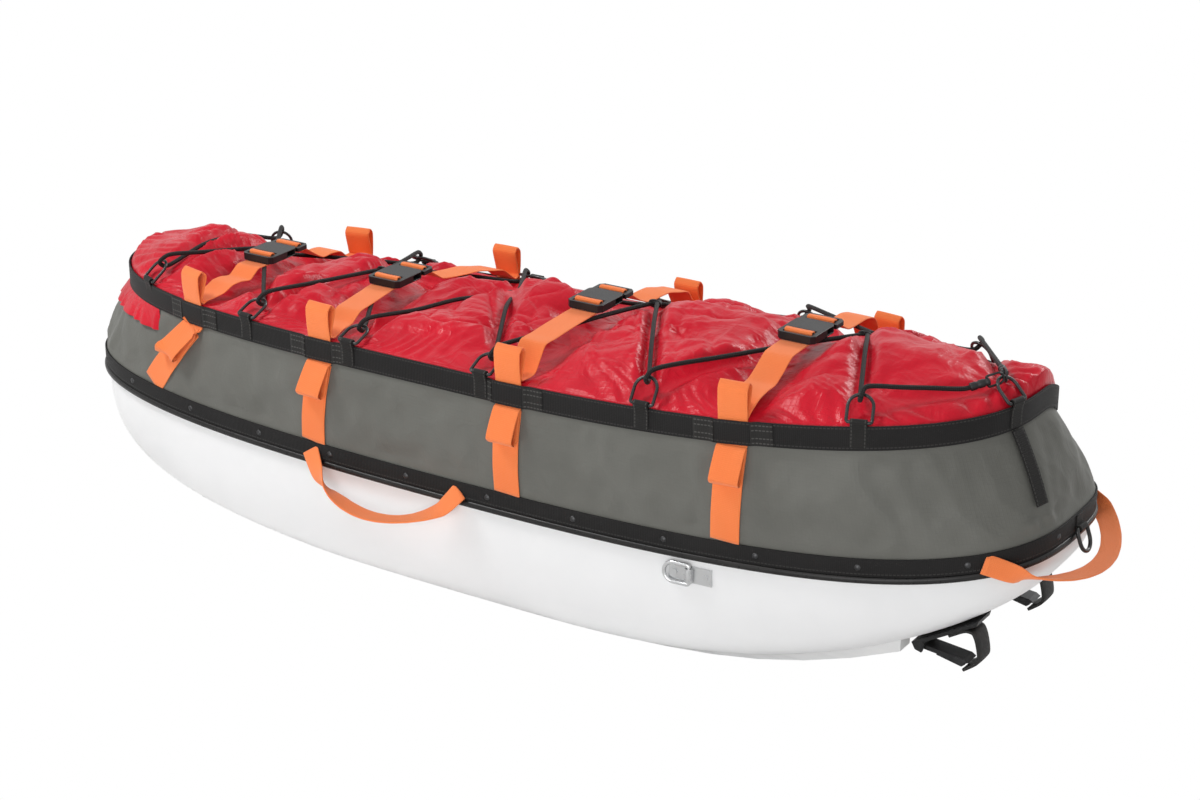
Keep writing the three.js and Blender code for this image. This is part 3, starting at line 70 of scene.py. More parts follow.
# Outlines and levels of the hull and the bag, as the solids have them
rimPlan = dict(middle=-12, front=732, rear=708, half=231, farHalf=231, frontShares=(3.08, 3.11),
               rearShares=(2.72, 4.88))
topPlan = dict(middle=-12, front=680, rear=716, half=236, farHalf=202, frontShares=(3.35, 2.73),
               rearShares=(2.76, 1.98))
level = dict(rim=185, skirt=154, rimBand=31, topBand=30, frontRise=48, rearRise=26, squareShare=0.52, skirtFront=43,
             skirtRear=-24, farDrop=40, sinkShare=0.62, inner=4.2, skirtInset=2.3)
keel = dict(low=8, frontStart=80, frontRise=137, frontPower=2.35, rearStart=-260, rearRise=22, rearPower=1.25)
strapPlaces = [(-556, -474, -471), (-252, -232, -254), (57, 65, 66), (364, 373, 369)]  # x at rim, band, buckle


# Distance of x from the plan's middle, over the length from there to the front or the rear end
def endShare(plan, x):
    return (x - plan["middle"]) / np.where(x > plan["middle"], plan["front"], plan["rear"])


# Superellipse: x is the length times the cosine to the power 2 over n, y the half width times the sine to the power
# 2 over m. Front and rear have their own n and m, the near and far sides their own half width.
def planPoint(plan, angle, inset, share=1.0):
    c, s = np.cos(angle), np.sin(angle)
    ahead = c > 0
    n = np.where(ahead, plan["frontShares"][0], plan["rearShares"][0])
    m = np.where(ahead, plan["frontShares"][1], plan["rearShares"][1])
    length = np.where(ahead, plan["front"], plan["rear"]) - inset
    x = plan["middle"] + length * share * np.sign(c) * np.abs(c) ** (2 / n)
    y = (np.where(s > 0, plan["farHalf"], plan["half"]) - inset) * share * np.sign(s) * np.abs(s) ** (2 / m)
    return x, y


# Flange under the rim: its level plus a rise towards both ends, part square and part sixth power of the end share
def rimHeight(x, y=None):
    u = endShare(rimPlan, x)
    rise = level["squareShare"] * u ** 2 + (1 - level["squareShare"]) * u ** 6
    return level["rim"] + np.where(u > 0, level["frontRise"], level["rearRise"]) * rise


# 0 up to a and 1 from b on, with 3 t squared minus 2 t cubed between them
def smoothStep(v, a, b):
    t = np.clip((v - a) / (b - a), 0, 1)
    return t * t * (3 - 2 * t)


# Foot of the top band: a level plus the square of the end share, less a drop that eases in towards the far side
def bandHeight(x, y):
    u = endShare(topPlan, x)
    sunk = level["farDrop"] * smoothStep(y, 0, level["sinkShare"] * topPlan["farHalf"])
    ends = np.where(u > 0, level["skirtFront"], level["skirtRear"]) * u ** 2
    return level["rim"] + level["skirt"] + ends - sunk


# Underside of the hull: flat, then rising to both ends with a power of the distance from where the rise starts
def bottomHeight(x):
    ahead = np.maximum(0, x - keel["frontStart"]) / (rimPlan["middle"] + rimPlan["front"] - keel["frontStart"])
    behind = np.maximum(0, keel["rearStart"] - x) / (keel["rearStart"] - rimPlan["middle"] + rimPlan["rear"])
    rise = keel["frontRise"] * ahead ** keel["frontPower"]
    return keel["low"] + rise + keel["rearRise"] * behind ** keel["rearPower"]


# Length along a plan line, from its first point to each point
def runOf(x, y):
    return np.concatenate([[0], np.cumsum(np.hypot(np.diff(x), np.diff(y)))])


# Angles round a plan, spread so that the steps along the edge are alike
def evenAngles(plan, count):
    fine = np.linspace(-math.pi, math.pi, 20001)
    run = runOf(*planPoint(plan, fine, 0))
    return np.interp(np.arange(count) / count * run[-1], run, fine)


# Outward direction in plan: the step from the point before to the point after, turned a quarter to the right
def outward(plan, angles):
    x, y = planPoint(plan, angles, 0.0)
    dx = np.roll(x, -1) - np.roll(x, 1)
    dy = np.roll(y, -1) - np.roll(y, 1)
    size = np.hypot(dx, dy)
    return dy / size, -dx / size


def unit(v):
    return v / np.maximum(1e-9, np.linalg.norm(v, axis=-1, keepdims=True))


# Mesh of points in metres; faces is a list of (corner indices, corner lengths) groups, of triangles or of quads
def meshFrom(name, points, faces, material, body="sled", slot=None, replaces=()):
    index = np.concatenate([group[0].ravel() for group in faces]).astype(np.int32)
    lengths = np.concatenate([group[1].reshape(-1, 2) for group in faces]).astype(np.float32)
    sizes = np.concatenate([np.full(len(group[0]), group[0].shape[1]) for group in faces])
    mesh = bpy.data.meshes.new(name)
    mesh.vertices.add(len(points))
    mesh.vertices.foreach_set("co", np.ascontiguousarray(points, dtype=np.float32).ravel())
    mesh.loops.add(len(index))
    mesh.loops.foreach_set("vertex_index", index)
    mesh.polygons.add(len(sizes))
    mesh.polygons.foreach_set("loop_start", np.concatenate([[0], np.cumsum(sizes)[:-1]]).astype(np.int32))
    mesh.update(calc_edges=True)
    mesh.polygons.foreach_set("use_smooth", np.ones(len(sizes), dtype=bool))
    mesh.uv_layers.new(name="lengths").data.foreach_set("uv", lengths.ravel())
    mesh.materials.append(material)
    made = bpy.data.objects.new(name, mesh)
    bpy.context.scene.collection.objects.link(made)
    if body:
        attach(made, body)
    if replaces:
        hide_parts(*replaces)
    return made


# Joins the parts of one piece and puts it in the shared frame
def piece(name, part, material, **facts):
    parts = part if isinstance(part, list) else [part]
    starts = np.cumsum([0] + [len(points) for points, _ in parts])
    points = np.concatenate([points for points, _ in parts])
    faces = [(index + start, lengths) for (_, groups), start in zip(parts, starts) for index, lengths in groups]
    return meshFrom(name, toFrame(points), faces, material, **facts)


# Corner indices of a grid's quads, row by row
def gridQuads(rows, columns, wrapRows, wrapColumns):
    r = np.arange(rows if wrapRows else rows - 1)
    c = np.arange(columns if wrapColumns else columns - 1)
    r0, c0 = np.meshgrid(r, c, indexing="ij")
    r1, c1 = (r0 + 1) % rows, (c0 + 1) % columns
    corners = [r0 * columns + c0, r0 * columns + c1, r1 * columns + c1, r1 * columns + c0]
    return np.stack(corners, -1).reshape(-1, 4)


# Grid of points (rows, columns, 3) as a part; u and v are its lengths in millimetres, kept in metres for the weave
def gridPart(points, u, v, wrapRows=False, wrapColumns=False):
    rows, columns = points.shape[:2]
    quads = gridQuads(rows, columns, wrapRows, wrapColumns)
    u = np.broadcast_to(u, (rows, columns)).ravel()
    v = np.broadcast_to(v, (rows, columns)).ravel()
    lengths = np.stack([u[quads], v[quads]], -1)
    if wrapColumns:  # the last column's quads end at the full length, not at 0
        step = np.ptp(u) * columns / (columns - 1)
        over = (quads % columns == 0) & (quads[:, :1] % columns == columns - 1)
        lengths[..., 0] += np.where(over, step, 0)
    return points.reshape(-1, 3), [(quads, lengths * 0.001)]


# Cap over a ring of points: quads between each point and its mirror across the ring, a triangle at each end
def capFaces(columns, start, turned=False):
    half = columns // 2
    k = np.arange(1, half - 1)
    strip = np.stack([k, k + 1, columns - k - 1, columns - k], 1) + start
    tips = np.array([[0, 1, columns - 1], [half - 1, half, half + 1]]) + start
    return [strip[:, ::-1], tips[:, ::-1]] if turned else [strip, tips]


# Smooth line through points: cubic pieces on steps of the square root of the chord, then a moving mean that keeps
# the ends. The slopes at the points are drawn in to the share tight.
def smoothLine(points, steps, rounds=1, tight=0.55):
    p = np.asarray(points, dtype=float)
    run = np.concatenate([[0], np.cumsum(np.sqrt(np.linalg.norm(np.diff(p[:, :3], axis=0), axis=1)))])
    spans = [np.linspace(run[i], run[i + 1], steps, endpoint=False) for i in range(len(run) - 1)]
    where = np.concatenate(spans + [[run[-1]]])
    i = np.clip(np.searchsorted(run, where, side="right") - 1, 0, len(run) - 2)
    slope = np.gradient(p, run, axis=0)
    h = (run[i + 1] - run[i])[:, None]
    t = ((where - run[i]) / h[:, 0])[:, None]
    line = ((2 * t ** 3 - 3 * t ** 2 + 1) * p[i] + (t ** 3 - 2 * t ** 2 + t) * h * slope[i] * tight
            + (3 * t ** 2 - 2 * t ** 3) * p[i + 1] + (t ** 3 - t ** 2) * h * slope[i + 1] * tight)
    for _ in range(rounds):
        line[1:-1] = (line[:-2] + 2 * line[1:-1] + line[2:]) / 4
    return line


def alongLine(line):
    return np.concatenate([[0], np.cumsum(np.linalg.norm(np.diff(line[:, :3], axis=0), axis=1))])


# Webbing along a line of (x, y, z, across x, across y, across z): each section point is the centre plus its share
# of the half width across and its height along the normal. crown lifts the middle by 1 minus the share squared.
def ribbonPart(line, width, thickness, crown=0.0):
    centre = line[:, :3]
    ahead = unit(np.gradient(centre, axis=0))
    across = unit(line[:, 3:6] - (line[:, 3:6] * ahead).sum(1, keepdims=True) * ahead)
    normal = np.cross(ahead, across)
    half, thick = width / 2, thickness / 2
    shares = np.array([-1, -0.985, -0.93, -0.45, 0, 0.45, 0.93, 0.985, 1])
    heights = np.array([0, 0.75, 1, 1, 1, 1, 1, 0.75, 0])
    shares = np.concatenate([shares, shares[-2:0:-1]])
    heights = np.concatenate([heights, -heights[-2:0:-1]]) * thick + crown * (1 - shares ** 2)
    sideways = across[:, None] * shares[None, :, None] * half
    points = centre[:, None] + sideways + normal[:, None] * heights[None, :, None]
    rows, columns = points.shape[:2]
    lengths = np.stack([np.repeat(alongLine(line), columns), np.tile((shares + 1) * half, rows)], -1) * 0.001
    groups = [gridQuads(rows, columns, False, True)[:, ::-1]]
    groups += capFaces(columns, 0) + capFaces(columns, (rows - 1) * columns, True)
    return points.reshape(-1, 3), [(index, lengths[index]) for index in groups]


# Round wire along a line: each point is the centre plus the radius times cosine and sine of its angle along two
# sides. The sides turn as little as they can from one station to the next, and a closed wire spreads what is left.
def tubePart(line, radius, sides=12, closed=False):
    centre = line[:, :3]
    count = len(centre)
    if closed:
        ahead = unit(np.roll(centre, -1, 0) - np.roll(centre, 1, 0))
    else:
        ahead = unit(np.gradient(centre, axis=0))
    side = np.zeros_like(centre)
    start = np.array([0.0, 0.0, 1.0]) if abs(ahead[0, 2]) < 0.8 else np.array([1.0, 0.0, 0.0])
    side[0] = unit(start - (start @ ahead[0]) * ahead[0])
    for i in range(1, count):
        side[i] = unit(side[i - 1] - (side[i - 1] @ ahead[i]) * ahead[i])
    other = np.cross(ahead, side)
    if closed:
        turn = math.atan2(float(side[-1] @ other[0]), float(side[-1] @ side[0]))
        fix = -turn * np.arange(count)[:, None] / (count - 1)
        side, other = side * np.cos(fix) + other * np.sin(fix), other * np.cos(fix) - side * np.sin(fix)
    angles = np.arange(sides) * 2 * math.pi / sides
    r = radius if np.ndim(radius) else np.full(count, radius)
    spokes = side[:, None] * np.cos(angles)[None, :, None] + other[:, None] * np.sin(angles)[None, :, None]
    points = (centre[:, None] + spokes * r[:, None, None]).reshape(-1, 3)
    quads = gridQuads(count, sides, closed, True)
    lengths = np.stack([np.repeat(alongLine(line), sides), np.tile(angles * np.max(radius), count)], -1) * 0.001
    groups = [(quads, lengths[quads])]
    if not closed:  # a low cone shuts each end
        base = len(points)
        tips = [centre[:1] - ahead[:1] * r[0] * 0.3, centre[-1:] + ahead[-1:] * r[-1] * 0.3]
        points = np.concatenate([points] + tips)
        k = np.arange(sides)
        far = (count - 1) * sides
        first = np.stack([np.full(sides, base), (k + 1) % sides, k], 1)
        last = np.stack([np.full(sides, base + 1), far + k, far + (k + 1) % sides], 1)
        groups += [(index, np.zeros((sides, 3, 2))) for index in (first, last)]
    return points, groups


# Sum of count sine waves with seeded directions, phases and lengths between low and high, over the root of count
def waves(x, y, seed, count, low, high):
    rng = np.random.default_rng(seed)
    total = np.zeros_like(x)
    for _ in range(count):
        a = rng.uniform(0, math.pi)
        k = 2 * math.pi / math.exp(rng.uniform(math.log(low), math.log(high)))
        total += np.sin(k * (x * math.cos(a) + y * math.sin(a)) + rng.uniform(0, 2 * math.pi))
    return total / math.sqrt(count)


# Mean of count sharp ridges: 1 minus the size of a bent sine, to the power sharp, faded in and out by slow waves
def creases(x, y, seed, count, low, high, direction, spread, sharp=3.0):
    rng = np.random.default_rng(seed)
    total = np.zeros_like(x)
    for _ in range(count):
        a = direction + rng.uniform(-spread, spread)
        k = math.pi / math.exp(rng.uniform(math.log(low), math.log(high)))
        bend = 1.3 * waves(x, y, int(rng.integers(1 << 30)), 3, 120, 300)
        ridge = (1 - np.abs(np.sin(k * (x * math.cos(a) + y * math.sin(a)) + rng.uniform(0, 6) + bend))) ** sharp
        total += ridge * smoothStep(waves(x, y, int(rng.integers(1 << 30)), 3, 150, 320), -0.3, 0.9)
    return total / count


# Camera, floor and light
cameraSettings = dict(place=(1701.01, -2601, 1491), down=0.379, turn=0.566, lens=75.63, sensor=36)
camera = bpy.data.objects.new("camera", bpy.data.cameras.new("camera"))
camera.location = toFrame(cameraSettings["place"])
camera.rotation_euler = (math.pi / 2 - cameraSettings["down"], 0, cameraSettings["turn"])
camera.data.lens = cameraSettings["lens"]
camera.data.sensor_width = cameraSettings["sensor"]
camera.data.clip_end = 60
bpy.context.scene.collection.objects.link(camera)
bpy.context.scene.camera = camera
bpy.context.scene.view_settings.view_transform = "Standard"

lampTarget = Vector((0, 0, 0.25))
lampSettings = dict(  # place and size in metres, power in watts
    keyLamp=dict(place=(-1.9, -1.2, 3.0), size=0.9, power=56),
    frontLamp=dict(place=(0.9, -3.4, 0.9), size=2.4, power=48),
    backLamp=dict(place=(0.9, 2.6, 2.2), size=1.1, power=46))
for lampName, values in lampSettings.items():
    lamp = bpy.data.objects.new(lampName, bpy.data.lights.new(lampName, "AREA"))
    lamp.data.size = values["size"]
    lamp.data.energy = values["power"]
    lamp.location = values["place"]
    lamp.rotation_euler = (lampTarget - lamp.location).to_track_quat("-Z", "Y").to_euler()
    bpy.context.scene.collection.objects.link(lamp)


# Colours are written as sRGB hex and turned linear here
def linear(text):
    channels = np.array([int(text[i:i + 2], 16) / 255 for i in (1, 3, 5)])
    light = np.where(channels <= 0.04045, channels / 12.92, ((channels + 0.055) / 1.055) ** 2.4)
    return (*(float(c) for c in light), 1.0)


# Adds one node with its settings and links, and gives back one of its outputs. inputs is a dictionary, or a list in
# the order of the node's sockets. A Mix node of colours has its factor at 0, its colours at 6 and 7, its output at 2.
def addNode(material, kind, inputs=(), output=0, **settings):
    made = material.node_tree.nodes.new("ShaderNode" + kind)
    for key, value in settings.items():
        setattr(made, key, value)
    for key, value in inputs.items() if isinstance(inputs, dict) else enumerate(inputs):
        if isinstance(value, bpy.types.NodeSocket):
            material.node_tree.links.new(value, made.inputs[key])
        else:
            made.inputs[key].default_value = value
    return made.outputs[output]


def newMaterial(name, **values):
    made = bpy.data.materials.new(name)
    made.use_nodes = True
    shader = made.node_tree.nodes["Principled BSDF"]
    for key, value in values.items():
        shader.inputs[key.replace("_", " ")].default_value = value
    return made, shader


def link(material, output, socket):
    material.node_tree.links.new(output, socket)


# The world lights the object at worldLight and shows white to the camera and in reflections
worldLight = 0.36
world = bpy.data.worlds.new("studio")
bpy.context.scene.world = world
world.use_nodes = True
rays = addNode(world, "LightPath").node.outputs
seen = addNode(world, "Math", [rays["Is Camera Ray"], rays["Is Glossy Ray"]], operation="MAXIMUM")
seen = addNode(world, "Math", [seen, rays["Is Transmission Ray"]], operation="MAXIMUM")
strength = addNode(world, "MapRange", [seen, 0, 1, worldLight, 1.0])
link(world, strength, world.node_tree.nodes["Background"].inputs["Strength"])
world.node_tree.nodes["Background"].inputs["Color"].default_value = (1, 1, 1, 1)

# Painted studio floor: matt white that takes light and shadow for the object, and shows plain white to the camera
floorPaint, floorShader = newMaterial("studio_floor_paint", Base_Color=linear("#F4F4F3"), Roughness=0.9)
floorPlace = addNode(floorPaint, "TexCoord", output="Object")
roller = addNode(floorPaint, "TexNoise", {"Vector": floorPlace, "Scale": 40.0})  # a roller's stipple, 25 mm
rolled = addNode(floorPaint, "Mix", {0: roller, 6: linear("#F3F3F2"), 7: linear("#F6F6F5")}, 2, data_type="RGBA")
link(floorPaint, rolled, floorShader.inputs["Base Color"])
cameraRay = addNode(floorPaint, "LightPath", output="Is Camera Ray")
floorGlow = addNode(floorPaint, "Emission", {"Color": (1, 1, 1, 1), "Strength": 1.0})
floorMix = addNode(floorPaint, "MixShader", [cameraRay, floorShader.outputs[0], floorGlow])
link(floorPaint, floorMix, floorPaint.node_tree.nodes["Material Output"].inputs["Surface"])
floorHalf = 14  # metres
floorCorners = [(x * floorHalf, y * floorHalf, 0) for x, y in ((-1, -1), (1, -1), (1, 1), (-1, 1))]
floorMesh = bpy.data.meshes.new("studio_floor")
floorMesh.from_pydata(floorCorners, [], [(0, 1, 2, 3)])
floorMesh.materials.append(floorPaint)
studioFloor = bpy.data.objects.new("studio_floor", floorMesh)
bpy.context.scene.collection.objects.link(studioFloor)
print("camera, light and floor made")


# Materials
# Formed polyethylene sheet: satin and a little waxy, with fine drag scratches low down that run along the hull
def makePolyethylene(name, colour, worn, roughness, scratch):
    made, shader = newMaterial(name, IOR=1.5, Roughness=roughness)
    place = addNode(made, "TexCoord", output="Object")
    drawn = addNode(made, "Mapping", {"Vector": place, "Scale": (6.0, 160.0, 160.0)})  # 6 mm apart, 160 mm long
    lines = addNode(made, "TexNoise", {"Vector": drawn, "Scale": 1.0, "Detail": 3.0, "Roughness": 0.6})
    cloud = addNode(made, "TexNoise", {"Vector": place, "Scale": 7.0, "Detail": 4.0})
    height = addNode(made, "SeparateXYZ", [place], 2)
    nearGround = addNode(made, "MapRange", [height, 0.0, 0.09, 1.0, 0.0])
    marks = addNode(made, "MapRange", [lines, 0.45, 0.75, 0.0, scratch])
    low = addNode(made, "Math", [nearGround, marks], operation="MULTIPLY")
    aged = addNode(made, "MapRange", [cloud, 0.35, 0.65, 0.0, 0.35])
    tint = addNode(made, "Mix", {0: aged, 6: linear(colour), 7: linear(worn)}, 2, data_type="RGBA")
    marked = addNode(made, "Mix", {0: low, 6: tint, 7: linear(worn)}, 2, data_type="RGBA")
    link(made, marked, shader.inputs["Base Color"])
    gloss = addNode(made, "MapRange", [lines, 0.3, 0.8, roughness - 0.05, roughness + 0.12])
    link(made, gloss, shader.inputs["Roughness"])
    grain = addNode(made, "TexNoise", {"Vector": place, "Scale": 420.0, "Detail": 2.0})  # mould grain, 2.4 mm
    fine = addNode(made, "Math", [grain, 0.35], operation="MULTIPLY")
    relief = addNode(made, "Math", [fine, addNode(made, "Math", [lines, 0.8], operation="MULTIPLY")], operation="ADD")
    bump = addNode(made, "Bump", {"Height": relief, "Strength": 0.22, "Distance": 0.0005})
    link(made, bump, shader.inputs["Normal"])
    return made


# Woven nylon with a coating: a heavier thread every grid metres both ways, and the crushed look of a packed bag
def makeNylon(name, colour, shade, grid, roughness, crush, sheen, clouding):
    made, shader = newMaterial(name, IOR=1.34, Roughness=roughness, Sheen_Weight=sheen, Sheen_Roughness=0.4,
                               Specular_IOR_Level=0.3)
    lengths = addNode(made, "UVMap", uv_map="lengths")
    place = addNode(made, "TexCoord", output="Object")
    lines = []
    for run in addNode(made, "SeparateXYZ", [lengths]).node.outputs[:2]:
        share = addNode(made, "Math", [run, 1 / grid], operation="MULTIPLY")
        share = addNode(made, "Math", [share], operation="FRACT")
        away = addNode(made, "Math", [share, 0.5], operation="SUBTRACT")
        away = addNode(made, "Math", [away], operation="ABSOLUTE")
        lines.append(addNode(made, "MapRange", [away, 0.38, 0.5, 0.0, 1.0]))
    threads = addNode(made, "Math", lines, operation="MAXIMUM")
    cloud = addNode(made, "TexNoise", {"Vector": place, "Scale": 9.0, "Detail": 5.0, "Roughness": 0.6})
    fine = addNode(made, "TexNoise", {"Vector": place, "Scale": 24.0, "Detail": 2.5, "Roughness": 0.5,
                                      "Distortion": 1.0})  # creases about 40 mm long
    worn = addNode(made, "MapRange", [cloud, 0.36, 0.66, 0.0, clouding])
    tint = addNode(made, "Mix", {0: worn, 6: linear(colour), 7: linear(shade)}, 2, data_type="RGBA")
    darker = addNode(made, "Math", [threads, 0.16], operation="MULTIPLY")
    woven = addNode(made, "Mix", {0: darker, 6: tint, 7: linear(shade)}, 2, data_type="RGBA")
    link(made, woven, shader.inputs["Base Color"])
    gloss = addNode(made, "MapRange", [cloud, 0.3, 0.7, roughness - 0.06, roughness + 0.08])
    link(made, gloss, shader.inputs["Roughness"])
    swing = addNode(made, "Math", [fine, 2.0, -1.0], operation="MULTIPLY_ADD")  # 1 minus its size, cubed, is a crease
    crease = addNode(made, "Math", [1.0, addNode(made, "Math", [swing], operation="ABSOLUTE")], operation="SUBTRACT")
    crease = addNode(made, "Math", [crease, 3.0], operation="POWER")
    crushed = addNode(made, "Bump", {"Height": crease, "Strength": crush, "Distance": 0.004})
    bump = addNode(made, "Bump", {"Height": threads, "Strength": 0.25, "Distance": 0.0004, "Normal": crushed})
    link(made, bump, shader.inputs["Normal"])
    return made


# Polyester or nylon webbing: a ribbed weave whose ribs run across, painted shade in its grooves, with rows of
# lock stitches inside each edge. The real ribs are about 1.2 mm apart and are drawn at twice that to show.
def makeWebbing(name, colour, shade, thread, width, rib=0.0024, roughness=0.62, rows=(0.0035,), sheen=0.04):
    made, shader = newMaterial(name, IOR=1.22, Roughness=roughness, Sheen_Weight=sheen, Sheen_Roughness=0.5)
    lengths = addNode(made, "UVMap", uv_map="lengths")
    place = addNode(made, "TexCoord", output="Object")
    along = addNode(made, "SeparateXYZ", [lengths])
    across = along.node.outputs[1]
    turn = addNode(made, "Math", [along, 2 * math.pi / rib], operation="MULTIPLY")
    warp = addNode(made, "Math", [across, 2 * math.pi / (0.8 * rib)], operation="MULTIPLY")
    warp = addNode(made, "Math", [warp], operation="SINE")
    ribs = addNode(made, "Math", [turn, warp], operation="ADD")
    ribs = addNode(made, "Math", [ribs], operation="SINE")
    weave = addNode(made, "Math", [ribs, addNode(made, "Math", [warp, 0.5], operation="MULTIPLY")], operation="ADD")
    stitches = 0.0
    dash = addNode(made, "Math", [along, 1 / 0.0046], operation="MULTIPLY")  # a stitch every 4.6 mm, 30% gap
    dash = addNode(made, "Math", [dash], operation="FRACT")
    dash = addNode(made, "Math", [dash, 0.3], operation="GREATER_THAN")
    for centre in [edge for row in rows for edge in (row, width - row)]:
        off = addNode(made, "Math", [across, centre], operation="SUBTRACT")
        off = addNode(made, "Math", [off], operation="ABSOLUTE")
        here = addNode(made, "Math", [off, 0.00075], operation="LESS_THAN")
        sewn = addNode(made, "Math", [here, dash], operation="MULTIPLY")
        stitches = addNode(made, "Math", [stitches, sewn], operation="MAXIMUM")
    cloud = addNode(made, "TexNoise", {"Vector": place, "Scale": 14.0, "Detail": 5.0})
    # Painted shade: the weave's low grooves are mixed up to 0.55 of the way towards the shade colour
    deep = addNode(made, "MapRange", [weave, -1.2, 1.2, 0.55, 0.0])
    woven = addNode(made, "Mix", {0: deep, 6: linear(colour), 7: linear(shade)}, 2, data_type="RGBA")
    worn = addNode(made, "MapRange", [cloud, 0.35, 0.7, 0.0, 0.4])
    faded = addNode(made, "Mix", {0: worn, 6: woven, 7: linear(shade)}, 2, data_type="RGBA")
    if rows:
        shown = addNode(made, "Math", [stitches, 0.75], operation="MULTIPLY")
        faded = addNode(made, "Mix", {0: shown, 6: faded, 7: linear(thread)}, 2, data_type="RGBA")
    link(made, faded, shader.inputs["Base Color"])
    bump = addNode(made, "Bump", {"Height": weave, "Strength": 0.4, "Distance": 0.0004})
    if rows:
        bump = addNode(made, "Bump", {"Height": stitches, "Strength": 0.6, "Distance": 0.0006, "Normal": bump})
    link(made, bump, shader.inputs["Normal"])
    return made


# Moulded plastic, rubber and metal share a ground: a base colour, wear on a cloudy noise and a grain or a brushing
def makeSolid(name, colour, worn, roughness, metallic=0.0, grain=600.0, stretch=(1, 1, 1), depth=0.15, coat=0.0):
    made, shader = newMaterial(name, Metallic=metallic, Roughness=roughness, Coat_Weight=coat)
    if not metallic:  # a metal keeps the shader's own value
        shader.inputs["IOR"].default_value = 1.36
    place = addNode(made, "TexCoord", output="Object")
    drawn = addNode(made, "Mapping", {"Vector": place, "Scale": stretch})
    fine = addNode(made, "TexNoise", {"Vector": drawn, "Scale": grain, "Detail": 3.0})
    cloud = addNode(made, "TexNoise", {"Vector": place, "Scale": 30.0, "Detail": 5.0})
    rubbed = addNode(made, "MapRange", [cloud, 0.42, 0.72, 0.0, 0.7])
    tint = addNode(made, "Mix", {0: rubbed, 6: linear(colour), 7: linear(worn)}, 2, data_type="RGBA")
    link(made, tint, shader.inputs["Base Color"])
    gloss = addNode(made, "MapRange", [fine, 0.3, 0.7, roughness - 0.05, roughness + 0.09])
    link(made, gloss, shader.inputs["Roughness"])
    bump = addNode(made, "Bump", {"Height": fine, "Strength": depth, "Distance": 0.0003})
    link(made, bump, shader.inputs["Normal"])
    return made


# Braided polyester cord: strands cross in two spirals round it, the product of two sines; painted shade in the dips
def makeBraid(name, colour, shade, pitch=0.0045):
    made, shader = newMaterial(name, IOR=1.25, Roughness=0.6, Sheen_Weight=0.05)
    lengths = addNode(made, "UVMap", uv_map="lengths")
    along = addNode(made, "SeparateXYZ", [lengths])
    a = addNode(made, "Math", [along, 2 * math.pi / pitch], operation="MULTIPLY")
    b = addNode(made, "Math", [along.node.outputs[1], 4 / 0.003], operation="MULTIPLY")  # four strands each way round
    spirals = [addNode(made, "Math", [a, b], operation=operation) for operation in ("ADD", "SUBTRACT")]
    spirals = [addNode(made, "Math", [spiral], operation="SINE") for spiral in spirals]
    strands = addNode(made, "Math", spirals, operation="MULTIPLY")
    # Painted shade: the low parts between strands take the dark shade colour, the raised strands the cord's own
    # colour
    high = addNode(made, "MapRange", [strands, -0.6, 0.6, 0.0, 1.0])
    tint = addNode(made, "Mix", {0: high, 6: linear(shade), 7: linear(colour)}, 2, data_type="RGBA")
    link(made, tint, shader.inputs["Base Color"])
    bump = addNode(made, "Bump", {"Height": strands, "Strength": 0.6, "Distance": 0.0006})
    link(made, bump, shader.inputs["Normal"])
    return made


hullPlastic = makePolyethylene("formed_polyethylene_white", "#F4F4F5", "#E6E7E8", 0.36, 0.45)
runnerPlastic = makePolyethylene("polyethylene_runner", "#E2E2E2", "#BFC0C1", 0.42, 0.9)
redNylon = makeNylon("coated_ripstop_nylon_red", "#D81D31", "#B41526", 0.0065, 0.3, 0.22, 0.0, 0.6)
greyNylon = makeNylon("coated_pack_nylon_grey", "#6E6E69", "#61615C", 0.0045, 0.5, 0.12, 0.05, 0.45)
bandWebbing = makeWebbing("woven_polyester_webbing_black", "#262525", "#1A1919", "#403F3E", 0.031)
handleWebbing = makeWebbing("tubular_nylon_webbing_orange", "#FF9258", "#FF8244", "#FFB48A", 0.025, rows=(),
                            sheen=0.2)
strapWebbing = makeWebbing("woven_nylon_webbing_orange", "#FF8E52", "#FC7C3E", "#FFB48A", 0.038, rows=(), sheen=0.2)
tabWebbing = makeWebbing("narrow_polyester_webbing_black", "#2A2928", "#1D1C1C", "#4C4B49", 0.02, rows=(0.002,))
patchWebbing = makeWebbing("stitched_webbing_patch_black", "#31302F", "#232221", "#5A5957", 0.028,
                           rows=(0.003, 0.009))
trimRubber = makeSolid("extruded_rubber_black", "#1D1C1C", "#2A2928", 0.3, grain=300.0)
buckleAcetal = makeSolid("moulded_acetal_black", "#1E1E1F", "#2B2B2C", 0.36, grain=900.0, depth=0.2)
ringWire = makeSolid("enamelled_steel_wire_black", "#1F1F20", "#343435", 0.28, grain=500.0, coat=0.3)
ringSteel = makeSolid("zinc_plated_steel_wire", "#D2D3D4", "#B0B1B2", 0.2, metallic=1.0, grain=500.0, depth=0.1)
plateSteel = makeSolid("brushed_stainless_steel", "#C9CACB", "#B4B5B6", 0.3, metallic=1.0, grain=300.0,
                       stretch=(0.06, 1.0, 1.0), depth=0.3)
rivetMetal = makeSolid("blackened_steel_rivet", "#4A4A4B", "#2F2F30", 0.35, metallic=0.9, grain=800.0)
clampMetal = makeSolid("anodised_aluminium_black", "#262627", "#3A3A3B", 0.42, metallic=0.6, grain=900.0)
clampRubber = makeSolid("moulded_rubber_black", "#222221", "#302F2E", 0.55, grain=250.0, depth=0.3)
cordBraid = makeBraid("braided_polyester_cord_black", "#2B2A2A", "#101010")
print("materials made")


# Hull: rings run from the keel line up the bilge to the flange, over its lip, and back down inside as the wall's
# other face. A ring's plan shrinks with a power of the cosine of its steepness, and its height goes from the flange
# to the underside with a power of the sine.
hullSettings = dict(around=760, wall=4, flange=27, sideShare=4.94, bilgeShare=2.9, lip=2, crest=0.3,
                    steeps=((89.2, 60, 16), (58.5, 20, 24), (18, 0, 9)))


